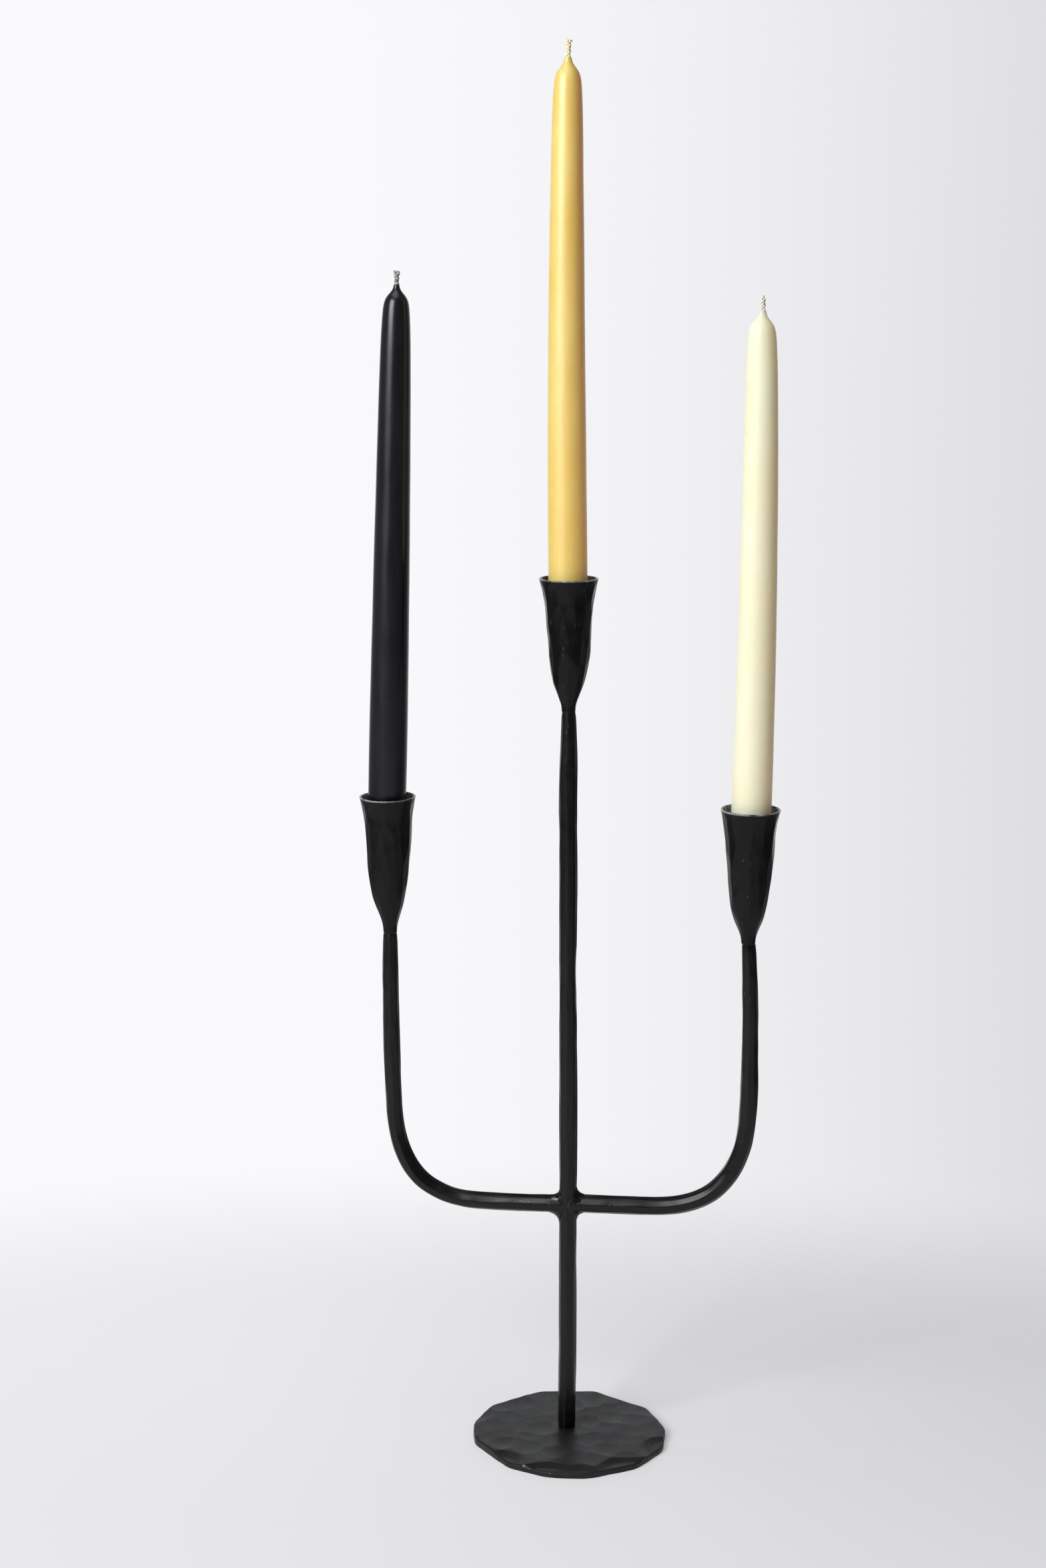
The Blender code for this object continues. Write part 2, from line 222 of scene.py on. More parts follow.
# Seen directly, the surroundings are pale and darken a little to the right. As a source of light they
# are a bright wall behind, a weaker one on the left, and a dark room overhead and towards the lens
world = bpy.data.worlds.new("studio_surroundings")
world.use_nodes = True
world.node_tree.nodes.clear()
shade = Shade(world.node_tree)
toward = shade.node("ShaderNodeTexCoord")
to_right, behind, overhead = (shade.part(toward, axis) for axis in range(3))
low_down = 1 - overhead.between(0.22, 0.75) * 0.85
wall = behind.between(0.50, 0.95) * WORLD_WALL * (1 - to_right.between(0.02, 0.60) * 0.55)
wall = wall + (to_right * -1).between(-0.1, 0.8) * WORLD_LEFT
glow = wall * low_down + WORLD_LEAST
cool_white = (0.96, 0.98, 1.0, 1.0)
light_side = shade.node("ShaderNodeBackground", None, {"Color": cool_white, "Strength": glow})
lens_right = (cos(radians(CAMERA_TURN)), sin(radians(CAMERA_TURN)), 0)
sideways = shade.node(
    "ShaderNodeVectorMath", {"operation": "DOT_PRODUCT"}, {0: toward, 1: lens_right}, output=1
)
# Painted shade: seen directly, the backdrop darkens to the right, where the light falls off
backdrop = shade.mix(sideways.between(-0.10, 0.45), BACK_LEFT, BACK_RIGHT)
seen_side = shade.node("ShaderNodeBackground", None, {"Color": backdrop, "Strength": 1.0})
direct = shade.node("ShaderNodeLightPath")
world_mix = shade.node("ShaderNodeMixShader", None, {0: direct, 1: light_side, 2: seen_side})
shade.node("ShaderNodeOutputWorld", None, {"Surface": world_mix})
bpy.context.scene.world = world


def add_softbox(name, place, target, size, power):
    """A rectangular soft light at a place, turned towards a target."""
    light = bpy.data.lights.new(name, "AREA")
    light.shape = "RECTANGLE"
    light.size, light.size_y = size
    light.energy = power
    obj = bpy.data.objects.new(name, light)
    obj.location = place
    aim = Vector(target) - Vector(place)
    obj.rotation_euler = aim.to_track_quat("-Z", "Y").to_euler()
    bpy.context.scene.collection.objects.link(obj)


add_softbox("window", WINDOW_PLACE, (0, 0, 0.50), WINDOW_SIZE, WINDOW_WATTS)
add_softbox("overhead", OVERHEAD_PLACE, (0, 0, 0), OVERHEAD_SIZE, OVERHEAD_WATTS)

# ------------------------------------------------------------
# Foot plate: a disc of 5 mm iron, its edge knocked into twelve flats and its face hammered all over.
# Harder blows near the front edge left bright-bordered facets that slope to the rim.

PLATE_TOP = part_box("base_plate")[1].z
PLATE_ROUND = 0.0575
EDGE_CREASE = 0.0024
DIMPLES = 62
SCREW_X, SCREW_Y = -0.003, 0.005
# The corners between the hammered flats of the edge: bearing and distance from the plate's centre
PLATE_CORNERS = (
    (13, 0.0569), (43, 0.0564), (85, 0.0572), (118, 0.0575), (153, 0.0584), (178, 0.0586),
    (200, 0.0576), (238, 0.0552), (266, 0.0557), (290, 0.0562), (322, 0.0572), (350, 0.0578),
)
# Hard blows on the rim: bearing, distance of the facet's inner end, tilt, radius of its curved border
RIM_BLOWS = (
    (235, 0.0436, 13, 0.028), (268, 0.0442, 19, 0.044), (283, 0.0458, 15, 0.044),
    (310, 0.0438, 16, 0.036), (346, 0.0452, 14, 0.036), (172, 0.0495, 6, 0.03),
    (20, 0.052, 5, 0.03), (60, 0.0525, 5, 0.03), (102, 0.053, 4, 0.04),
    (135, 0.053, 5, 0.03), (203, 0.051, 5, 0.03),
)


def pick(*objects):
    """Leaves only these objects selected, the first of them active."""
    bpy.ops.object.select_all(action="DESELECT")
    for obj in objects:
        obj.select_set(True)
    if objects:
        bpy.context.view_layer.objects.active = objects[0]


def named(name):
    obj = bpy.context.object
    obj.name = name
    obj.data.name = name
    return obj


def face_outwards(obj, merge=0.0):
    """Turns the faces of a closed mesh outwards, with points closer than merge made one."""
    pick(obj)
    bpy.ops.object.mode_set(mode="EDIT")
    bpy.ops.mesh.select_all(action="SELECT")
    if merge:
        bpy.ops.mesh.remove_doubles(threshold=merge)
    bpy.ops.mesh.normals_make_consistent(inside=False)
    bpy.ops.object.mode_set(mode="OBJECT")


def turned(name, rings, sides, levels):
    """A turned blank: a circle extruded and scaled through rings of (radius, height), then rounded.

    The ends are closed with one face each, and levels of subdivision make the fine mesh."""
    # A subdivided ring of few sides shrinks by this share
    shrink = 1 - (1 - cos(2 * pi / sides)) / 3
    pick()
    radius, height = rings[0]
    bpy.ops.mesh.primitive_circle_add(
        vertices=sides, radius=radius / shrink, fill_type="NGON", location=(0, 0, height)
    )
    obj = named(name)
    bpy.ops.object.mode_set(mode="EDIT")
    bpy.ops.mesh.select_all(action="SELECT")
    for (radius, height), (next_radius, next_height) in zip(rings, rings[1:]):
        rise = (0, 0, next_height - height)
        bpy.ops.mesh.extrude_region_move(TRANSFORM_OT_translate={"value": rise})
        grow = next_radius / radius
        bpy.ops.transform.resize(value=(grow, grow, 1), center_override=(0, 0, next_height))
    bpy.ops.object.mode_set(mode="OBJECT")
    face_outwards(obj)
    bpy.ops.object.transform_apply(location=True, rotation=True, scale=True)
    soft = obj.modifiers.new("Rounding", "SUBSURF")
    soft.levels = levels
    soft.render_levels = levels
    bpy.ops.object.modifier_apply(modifier=soft.name)
    return obj


def read(items, key, width, kind=float):
    """One value of every item of a mesh, as rows of numbers."""
    values = np.empty(len(items) * width, kind)
    items.foreach_get(key, values)
    return values.reshape(-1, width)


def points_of(obj):
    return read(obj.data.vertices, "co", 3)


def move_points(obj, points):
    obj.data.vertices.foreach_set("co", np.ascontiguousarray(points, dtype=float).ravel())
    obj.data.update()


def polar(points):
    """Bearing round the upright axis, and distance from it."""
    return np.arctan2(points[:, 1], points[:, 0]), np.hypot(points[:, 0], points[:, 1])


def set_polar(points, bearing, radius):
    points[:, 0] = radius * np.cos(bearing)
    points[:, 1] = radius * np.sin(bearing)


def soft_min(first, second, softness):
    """The lower of two heights, with the crease between them rounded over."""
    share = np.clip(0.5 + 0.5 * (second - first) / softness, 0.0, 1.0)
    return second + (first - second) * share - softness * share * (1.0 - share)


def smooth_step(low, high, value):
    share = np.clip((value - low) / (high - low), 0.0, 1.0)
    return share * share * (3.0 - 2.0 * share)


def planed(radius, reach, facing, least, crease):
    """A radius with a flat struck across it, at a reach from the axis.

    facing is the cosine between each point's bearing and the flat's, and the flat ends at the least."""
    flat = np.where(facing > least, reach / np.maximum(facing, least), 1.0)
    return soft_min(radius, flat, crease)


def ripple(values, seed, wavelength):
    """A smooth wandering value from -1 to 1 along a length, the same each run."""
    phase = np.random.default_rng(seed).uniform(0, 2 * pi, 3)
    turns = 2 * pi * np.asarray(values) / wavelength
    return (
        np.sin(turns + phase[0]) + 0.7 * np.sin(1.73 * turns + phase[1])
        + 0.5 * np.sin(2.61 * turns + phase[2])
    ) / 2.2


def keep(obj, name, values):
    """Keeps a number at each point of a mesh, for its material."""
    kept = obj.data.attributes.new(name, "FLOAT", "POINT")
    kept.data.foreach_set("value", values.astype(np.float32))


def mark_wear_and_highlight(obj, flat_bend, sharp_bend, given_wear_and_highlight=0.0):
    """Keeps how worn each point is, 0 to 1. Handling has brightened what stands proud.

    given_wear_and_highlight is the wear that points have in any case, one number or one for each; on
    the cups' lips it is partly a painted highlight."""
    points = points_of(obj)
    normals = read(obj.data.vertex_normals, "vector", 3, np.float32)
    first, second = read(obj.data.edges, "vertices", 2, np.int32).T
    along = points[second] - points[first]
    length = np.maximum((along**2).sum(1), 1e-12)
    bend = np.zeros(len(points))
    count = np.zeros(len(points))
    for here, sign in ((first, -1.0), (second, 1.0)):
        np.add.at(bend, here, sign * (along * normals[here]).sum(1) / length)
        np.add.at(count, here, 1.0)
    bend /= np.maximum(count, 1.0)
    # Averaged with the neighbours, so that the wear is a soft band and not single points
    for _ in range(2):
        total = bend.copy()
        np.add.at(total, first, bend[second])
        np.add.at(total, second, bend[first])
        bend = total / (count + 1.0)
    keep(obj, "wear", np.maximum(smooth_step(flat_bend, sharp_bend, bend), given_wear_and_highlight))


def mark_rubs_and_highlights(obj, rubs_and_highlights):
    """Keeps how bright each point is made by rubbing and by painted highlights, 0 to 1.

    Each rub and each painted highlight is a soft patch: place, size and strength, the first two in
    millimetres."""
    points = points_of(obj) * 1000
    total = np.zeros(len(points))
    for place, size, strength in rubs_and_highlights:
        away = (((points - place) / size) ** 2).sum(1)
        total = np.maximum(total, strength * np.exp(-away))
    keep(obj, "rubbed", total)


def finish_piece(obj, body, nodes, material, sharp=180):
    """Smooth shading, finish, and the fixing to the frame."""
    pick(obj)
    if sharp < 180:
        bpy.ops.object.shade_smooth_by_angle(angle=radians(sharp))
    else:
        bpy.ops.object.shade_smooth()
    obj.data.materials.clear()
    obj.data.materials.append(material)
    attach(obj, body)
    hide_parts(*nodes)


def finish_iron(obj, node, material, rubs_and_highlights, sharp=180, bend=(150.0, 1500.0), given_wear_and_highlight=0.0):
    """Finishes an iron piece of the holder, worn where it stands proud, rubbed where scuffed, and
    lightened by painted highlights where they are listed.
    """
    mark_wear_and_highlight(obj, *bend, given_wear_and_highlight)
    mark_rubs_and_highlights(obj, rubs_and_highlights)
    finish_piece(obj, "holder", [node], material, sharp)


def edge_distance(bearings):
    """How far the plate's edge is from its centre: straight flats between corners, softly rounded."""
    corners = [Vector((r * cos(radians(a)), r * sin(radians(a)))) for a, r in PLATE_CORNERS]
    distance = np.full(len(bearings), 1.0)
    for i, corner in enumerate(corners):
        before = corners[i - 1]
        along = (corner - before).normalized()
        outward = Vector((along.y, -along.x))
        reach = before.dot(outward)
        facing = np.cos(bearings) * outward.x + np.sin(bearings) * outward.y
        distance = planed(distance, reach, facing, 0.2, EDGE_CREASE)
    return distance


# From the screw's hole and its countersink out under the plate, over the edge and back across the top
top, side = PLATE_TOP, PLATE_ROUND
sink, bore = 0.0054, 0.0028
rings = [
    (bore, 0.0022), (bore + 0.0002, 0.0027), (sink - 0.0002, 0.0002), (sink, 0.0), (0.0062, 0.0),
    (0.020, 0.0), (0.040, 0.0), (side - 0.004, 0.0), (side - 0.0006, 0.0), (side - 0.0001, 0.0001),
    (side, 0.0008), (side, top - 0.0012), (side - 0.0001, top - 0.0004), (side - 0.0007, top),
    (side - 0.0030, top),
]
rings += [(radius / 1000, top) for radius in (50, 45, 40, 35, 30, 25, 20, 15, 10, 6.5, 3)]
foot_plate = turned("foot_plate", rings, sides=56, levels=3)
points = points_of(foot_plate)
bearing, from_centre = polar(points)
out = edge_distance(bearing)
spread = from_centre / PLATE_ROUND
# The flats reach inwards gradually, so the rings become the polygon towards the edge
scaled = from_centre * (1 + (out / PLATE_ROUND - 1) * smooth_step(0.25, 1.0, spread))
# The sides lean and wave a little, as the hammer left them
height_share = np.clip(points[:, 2] / PLATE_TOP, 0, 1)
wave = 0.00025 * ripple(bearing * 0.057, 5, 0.031) * smooth_step(0.9, 1.0, spread)
scaled += wave - 0.0002 * height_share * smooth_step(0.95, 1.0, spread)
set_polar(points, bearing, scaled)

# The face: overlapping shallow dimples of a round-faced hammer, laid out in a sunflower pattern
upper = smooth_step(0.55, 0.9, height_share)
face = np.full(len(points), PLATE_TOP)
rng = np.random.default_rng(11)
for i in range(DIMPLES):
    distance = 0.0600 * sqrt((i + 0.6) / DIMPLES) + rng.uniform(-0.0015, 0.0015)
    angle = i * 2.39996 + rng.uniform(-0.12, 0.12)
    depth = rng.uniform(0.00018, 0.00050)
    reach = rng.uniform(0.0085, 0.0125)
    turn = rng.uniform(0, pi)
    dx = points[:, 0] - distance * cos(angle)
    dy = points[:, 1] - distance * sin(angle)
    long_way = (dx * cos(turn) + dy * sin(turn)) / (reach * 1.15)
    short_way = (dy * cos(turn) - dx * sin(turn)) / reach
    bowl = PLATE_TOP - depth * (1 - long_way**2 - short_way**2)
    face = soft_min(face, bowl, 0.00006)
for blow_bearing, inner, tilt, border in RIM_BLOWS:
    outward = (cos(radians(blow_bearing)), sin(radians(blow_bearing)))
    along = points[:, 0] * outward[0] + points[:, 1] * outward[1] - inner
    across = points[:, 1] * outward[0] - points[:, 0] * outward[1]
    slope = tan(radians(tilt))
    facet = PLATE_TOP - slope * along + across**2 / (2 * border) * 0.55 - 0.00012
    facet = np.where(along > -0.012, facet, PLATE_TOP + 1.0)
    face = soft_min(face, facet, 0.00005)
points[:, 2] -= upper * soft_min(PLATE_TOP - face, PLATE_TOP * 0.34, 0.0004)
points[:, 2] = np.maximum(points[:, 2], 0.0)
# The countersink and hole lie on the stem's axis, off the plate's centre
near_hole = 1 - smooth_step(0.008, 0.030, from_centre)
below = 1 - smooth_step(0.35, 0.65, height_share)
points[:, 0] += SCREW_X * near_hole * below
points[:, 1] += SCREW_Y * near_hole * below
move_points(foot_plate, points)
# Bright marks on the foot plate, some rubbed and some painted highlights: the small specks at the front
# edge are painted highlights
PLATE_RUBS_AND_HIGHLIGHTS = (
    ((-19.0, -50.0, 3.8), (1.4, 1.0, 1.4), 1.0),
    ((-3.0, -54.5, 2.6), (0.7, 1.0, 0.7), 0.9),
    ((-1.0, -9.0, 4.8), (3.0, 4.5, 2.0), 0.36),
    ((-29.0, -22.0, 4.8), (14.0, 9.0, 2.0), 0.30),
    ((-30.0, 22.0, 4.8), (12.0, 9.0, 2.0), 0.36),
)


DARK_SHARE = 0.62
# Colour of worn edges, and of the painted highlight on the cups' lips
WORN_AND_HIGHLIGHT_IRON = (0.40, 0.40, 0.40, 1.0)
SCUFFED_IRON = (0.20, 0.20, 0.20, 1.0)
# Colour of rubbed marks and of painted highlights
RUB_AND_HIGHLIGHT_IRON = (0.21, 0.21, 0.205, 1.0)


def blackened_iron(name, base, tint, gloss, sheen, grain, streak_turn=(0, 0, 0)):
    """Forge-black iron, waxed warm: near black with brown clouds, fine scale, scuffs and worn edges,
    and painted highlights.
    """
    material, shader, shade = new_material(name, Metallic=0.0, Specular_IOR_Level=sheen)
    place = shade.place()
    clouds = shade.noise(place, 55.0, 3.0, 0.55)
    patches = shade.noise(place, 190.0, 3.0, 0.6)
    scale = shade.noise(place, 1500.0, 3.0, 0.6)
    pits = shade.node("ShaderNodeTexVoronoi", None, {"Vector": place, "Scale": 900.0})
    streaks = shade.noise(shade.stretched(place, grain, streak_turn), 900.0, 2.0, 0.65)
    # worn holds wear, and on the cups' lips partly a painted highlight
    worn = shade.kept("wear") * (patches.between(0.30, 0.60) * 0.6 + 0.4)
    scuffs = streaks.between(0.66, 0.74) * clouds.between(0.50, 0.66) * patches.between(0.46, 0.60)
    # Rubbed marks and painted highlights, both kept as rubbed, break up into flecks
    flecks = shade.noise(place, 1300.0, 3.0, 0.75)
    bright = (shade.kept("rubbed") * 0.62 + flecks).between(0.82, 1.06)
    dark = tuple(v * DARK_SHARE for v in base) + (1.0,)
    colour = shade.mix(clouds.between(0.35, 0.65), dark, (*base, 1.0))
    colour = shade.mix(patches.between(0.52, 0.72) * 0.55, colour, (*tint, 1.0))
    colour = shade.mix(worn * worn, colour, WORN_AND_HIGHLIGHT_IRON)
    colour = shade.mix(scuffs * 0.55, colour, SCUFFED_IRON)
    colour = shade.mix(bright, colour, RUB_AND_HIGHLIGHT_IRON)
    rough = (clouds - 0.5) * 0.30 + (patches - 0.5) * 0.22 + gloss
    skin = shade.bump(scale + patches * 1.6 + bright, 0.00003, 0.22)
    skin = shade.bump(pits.between(0.0, 0.32), 0.00002, 0.20, under=skin)
    surface(shader, shade, colour, rough - worn * 0.12 + scuffs * 0.12, skin)
    return material


plate_iron = blackened_iron(
    "blackened iron, foot", (0.0125, 0.0125, 0.0138), (0.018, 0.0175, 0.0165), 0.44, 0.29,
    (1.0, 0.25, 1.0), (0, 0, 0.6),
)
finish_iron(
    foot_plate, "base_plate", plate_iron, PLATE_RUBS_AND_HIGHLIGHTS, sharp=60, bend=(900.0, 7000.0)
)

# ------------------------------------------------------------
# Foot screw: a zinc-plated countersunk machine screw with a hexagon socket, driven up from below
# through the plate into the tapped foot of the stem. Only its head shows, under the plate.

zinc, zinc_shader, shade = new_material("zinc plate", Metallic=1.0)
place = shade.place()
bloom = shade.noise(place, 700.0, 3.0, 0.6)
on_axis = {"Vector": place, "Location": (-SCREW_X, -SCREW_Y, 0)}
lathe_marks = shade.node(
    "ShaderNodeTexWave", {"wave_type": "RINGS", "rings_direction": "Z"},
    {"Vector": shade.node("ShaderNodeMapping", None, on_axis), "Scale": 1800.0, "Distortion": 1.5},
)
plating = shade.mix(bloom.between(0.4, 0.7), (0.50, 0.51, 0.54, 1.0), (0.66, 0.67, 0.66, 1.0))
surface(zinc_shader, shade, plating, bloom * 0.25 + 0.22, shade.bump(lathe_marks, 0.00002, 0.5))
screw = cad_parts["base_screw"]
screw.data.materials.clear()
screw.data.materials.append(zinc)

# ------------------------------------------------------------
# Stem: one bar of 10 mm round iron, hammered into long soft flats and drawn down to the cup's neck.
# Its foot is sawn square and screwed down, and its top has a tenon inside the cup.

BAR_RADIUS = 0.00492
TENON_RADIUS = 0.0022
TENON_LENGTH = 0.008
BAR_SIDES = 56
RING_SPACING = 0.0008
FLATS = 8
# A flat on a bar ends where it would face this far from the blow, and its borders are this soft
BAR_FACING = 0.4
CREASE = 0.00006
# Squared distances from a blow's middle are counted no further than this
BLOW_LIMIT = 40.0


def bar_blank(name, length, sides, cuts):
    """A straight round bar standing on the origin, its long edges cut so that it has thin rings."""
    pick()
    bpy.ops.mesh.primitive_cylinder_add(
        vertices=sides, radius=BAR_RADIUS, depth=length, end_fill_type="NGON",
        location=(0, 0, length / 2),
    )
    obj = named(name)
    bpy.ops.object.transform_apply(location=True, rotation=True, scale=True)
    bpy.ops.object.mode_set(mode="EDIT")
    bpy.ops.mesh.select_mode(type="EDGE")
    bpy.ops.mesh.select_all(action="DESELECT")
    bpy.ops.object.mode_set(mode="OBJECT")
    for edge in obj.data.edges:
        first, second = (obj.data.vertices[i].co for i in edge.vertices)
        edge.select = abs(first.z - second.z) > 0.001
    bpy.ops.object.mode_set(mode="EDIT")
    bpy.ops.mesh.subdivide(number_cuts=cuts)
    bpy.ops.object.mode_set(mode="OBJECT")
    return obj


def bar_radius(along, bearing, bar):
    """Radius of a hammered bar at places along it and bearings round it.

    Long flats are struck one after another down each of its sides, and each dent is a harder blow of
    its own: place along the bar, bearing, depth and half length."""
    rng = np.random.default_rng(bar["seed"])
    length = bar["length"]
    # The ridges between the flats stand out a little beyond the bar's mean radius
    mean = bar["thickness"](np.clip(along, 0, length))
    full = mean * bar["ridges"]
    radius = full.copy()
    for side in range(FLATS):
        middle = radians(bar["ridge"]) + (side + 0.5) * 2 * pi / FLATS
        wander = 0.13 * ripple(along, bar["seed"] * 31 + side, 0.11)
        place = rng.uniform(-0.010, 0.004)
        while place < length + 0.010:
            reach = rng.uniform(0.010, 0.019)
            share = 1 - rng.uniform(0.045, 0.080)
            turned_by = rng.uniform(-0.10, 0.10)
            away = np.minimum(((along - place) / reach) ** 2, BLOW_LIMIT)
            flat = full * (share + (1 - share) * away)
            facing = np.cos(bearing - middle - wander - turned_by)
            radius = planed(radius, flat, facing, BAR_FACING, CREASE)
            place += reach * rng.uniform(0.9, 1.35)
    for place, blow_bearing, depth, reach in bar["dents"]:
        away = np.minimum(((along - place) / reach) ** 2, BLOW_LIMIT)
        facing = np.cos(bearing - radians(blow_bearing))
        radius = planed(radius, full - depth * (1 - away), facing, BAR_FACING, CREASE)
    # Under the cup the bar runs out round, to the size of the cup's neck and a hair less at its end
    top = smooth_step(length - 0.007, length - 0.0015, along)
    neck = mean - 0.00045 * smooth_step(length - 0.0020, length, along)
    return radius * (1 - top) + neck * top


def smooth_line(stations, places):
    """Values at places, on a smooth curve through given stations of (place, value, value ...)."""
    table = np.array(stations, dtype=float)
    knots = table[:, 0]
    values = table[:, 1:]
    slopes = np.gradient(values, knots, axis=0)
    index = np.clip(np.searchsorted(knots, places) - 1, 0, len(knots) - 2)
    gap = (knots[index + 1] - knots[index])[:, None]
    t = np.clip((places - knots[index])[:, None] / gap, 0, 1)
    h00 = 2 * t**3 - 3 * t**2 + 1
    h10 = t**3 - 2 * t**2 + t
    h01 = 3 * t**2 - 2 * t**3
    h11 = t**3 - t**2
    return (
        h00 * values[index] + h10 * gap * slopes[index]
        + h01 * values[index + 1] + h11 * gap * slopes[index + 1]
    )


def add_tenon(obj):
    """Shoulders the top end face in and draws a round tenon up from it."""
    pick(obj)
    top = max(v.co.z for v in obj.data.vertices)
    for vertex in obj.data.vertices:
        vertex.select = False
    for edge in obj.data.edges:
        edge.select = False
    for polygon in obj.data.polygons:
        polygon.select = polygon.normal.z > 0.9 and polygon.center.z > top - 0.0001
    bpy.ops.object.mode_set(mode="EDIT")
    bpy.ops.mesh.select_mode(type="FACE")
    shoulder = TENON_RADIUS / BAR_RADIUS
    bpy.ops.mesh.extrude_region_move(TRANSFORM_OT_translate={"value": (0, 0, 0)})
    bpy.ops.transform.resize(value=(shoulder, shoulder, 1), center_override=(0, 0, top))
    bpy.ops.mesh.extrude_region_move(TRANSFORM_OT_translate={"value": (0, 0, TENON_LENGTH)})
    bpy.ops.object.mode_set(mode="OBJECT")


def forged_bar(name, bar):
    """A hammered bar with its tenon, standing straight along Z on the origin."""
    obj = bar_blank(name, bar["length"], BAR_SIDES, round(bar["length"] / RING_SPACING))
    points = points_of(obj)
    bearing, radius = polar(points)
    # The end faces keep their centres
    set_polar(points, bearing, bar_radius(points[:, 2], bearing, bar) * (radius / BAR_RADIUS))
    move_points(obj, points)
    add_tenon(obj)
    return obj


STEM_LOW, STEM_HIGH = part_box("centre_stem")
STEM_X = (STEM_LOW.x + STEM_HIGH.x) / 2
STEM_Y = (STEM_LOW.y + STEM_HIGH.y) / 2
STEM_FOOT = PLATE_TOP - 0.0001
STEM_NECK = STEM_HIGH.z - TENON_LENGTH
# Radius up the stem: height above the foot, radius
STEM_THICKNESS = (
    (0, 0.005), (0.06, 0.005), (0.13, 0.0049), (0.2, 0.00506), (0.245, 0.0049),
    (0.28, 0.00476), (0.31, 0.0049), (0.36, 0.00496), (0.39, 0.005), (0.404, 0.00475),
    (0.416, 0.0043), (0.424, 0.00408), (0.4316, 0.00404),
)
# How far the bar wanders towards +X: height above the foot, distance
STEM_WANDER = (
    (0, 0.0002), (0.02, 0.0004), (0.055, 0.0006), (0.11, 0.0005), (0.17, 0.0006),
    (0.23, 0.0004), (0.27, 0.0001), (0.3, 0), (0.33, 0.0002), (0.36, -0.0001),
    (0.385, -0.0002), (0.405, 0.0001), (0.4316, 0),
)
# Hard blows on the stem: height above the foot, bearing, depth, half length
STEM_DENTS = (
    (0.279, 3, 0.00055, 0.016), (0.262, -8, 0.0004, 0.012), (0.398, 150, 0.0004, 0.009),
    (0.235, -150, 0.0004, 0.014), (0.33, -60, 0.00035, 0.014), (0.06, -70, 0.00035, 0.02),
    (0.408, -100, 0.0003, 0.007),
)

stem_bar = {
    "length": STEM_NECK - STEM_FOOT,
    "thickness": lambda z: smooth_line(STEM_THICKNESS, z)[:, 0],
    "ridges": 1.065,
    "seed": 3,
    "ridge": -89.0,
    "dents": STEM_DENTS,
}
stem = forged_bar("stem_bar", stem_bar)
points = points_of(stem)
along = points[:, 2].copy()
# The sawn foot has its edge broken with a file
points[:, :2] *= (1 - 0.06 * (1 - smooth_step(0.0, 0.0010, along)))[:, None]
points[:, 0] += STEM_X + smooth_line(STEM_WANDER, along)[:, 0]
points[:, 1] += STEM_Y
points[:, 2] += STEM_FOOT
move_points(stem, points)
# Bright marks on the stem, some rubbed and some painted highlights: the mark under the cup's neck is a
# painted highlight
STEM_RUBS_AND_HIGHLIGHTS = (
    ((-4.2, 0.2, 27.0), (0.35, 1.0, 0.4), 1.0),
    ((0.4, 1.5, 146.3), (0.5, 1.6, 1.1), 0.9),
    ((-6.8, 2.0, 150.5), (0.5, 2.0, 1.4), 0.6),
    ((-3.6, 0.4, 424.0), (0.7, 1.5, 3.0), 0.8),
)
bar_iron = blackened_iron(
    "blackened iron, bars", (0.0030, 0.0030, 0.0034), (0.0068, 0.0062, 0.0052), 0.28, 0.30,
    (1.0, 1.0, 0.07),
)
finish_iron(stem, "centre_stem", bar_iron, STEM_RUBS_AND_HIGHLIGHTS, sharp=50)

# ------------------------------------------------------------
# Arms: two bars of the same iron that leave the stem almost level, sweep up in one bend and run up to
# the side cups. They were hammered straight, then bent, and drawn down under the cups.

# Centre line of each arm from the stem out, in millimetres: distance from the stem, height
ARM_LINES = {
    "left": (
        (0.6, 143.6), (4, 143.5), (14, 143.1), (30, 142.6), (46, 142.4), (58, 142.7), (68.5, 144.3),
        (77.5, 147.6), (85.5, 152.5), (92, 159.5), (97, 168.4), (100.4, 178.8), (102.3, 190.5),
        (103, 204), (103.6, 222), (104.05, 242), (104.3, 264), (104.35, 284), (104.2, 303.6),
    ),
    "right": (
        (0.6, 143.9), (4, 144.1), (14, 144.4), (30, 144.8), (46, 145.2), (57, 145.9), (67.5, 147.8),
        (76.5, 151), (84.5, 155.9), (92, 163.7), (97.5, 172.5), (101.3, 182.2), (103.8, 194.5),
        (104.8, 207), (105.25, 221), (105.2, 240), (105.15, 261), (104.4, 284), (103.4, 306.4),
    ),
}
# Radius along each arm, by its distance below the cup: distance, radius
ARM_THICKNESS = {
    "left": (
        (0, 0.00392), (0.005, 0.0041), (0.012, 0.00425), (0.02, 0.00447), (0.035, 0.0046),
        (0.07, 0.00478), (0.1, 0.00462), (0.13, 0.0049), (0.2, 0.005), (0.3, 0.00492),
    ),
    "right": (
        (0, 0.00388), (0.006, 0.00402), (0.014, 0.0041), (0.03, 0.00445), (0.045, 0.00455),
        (0.07, 0.00462), (0.085, 0.00495), (0.11, 0.00485), (0.15, 0.005), (0.2, 0.00515),
        (0.3, 0.00492),
    ),
}
# Which way each arm goes, its first ridge's bearing, how proud its ridges stand, and its seed
ARM_BARS = {"left": (-1, -84, 1.04, 21), "right": (1, -98, 1.05, 33)}


def arm_thickness(side_name, length):
    """The radius of an arm's bar along it. Its inner end is drawn down a little into the stem."""
    def radius_at(along):
        below_cup = np.clip(length - along, 0, 0.3)
        drawn_down = 0.00055 * (1 - smooth_step(0.0, 0.007, along))
        return smooth_line(ARM_THICKNESS[side_name], below_cup)[:, 0] - drawn_down

    return radius_at


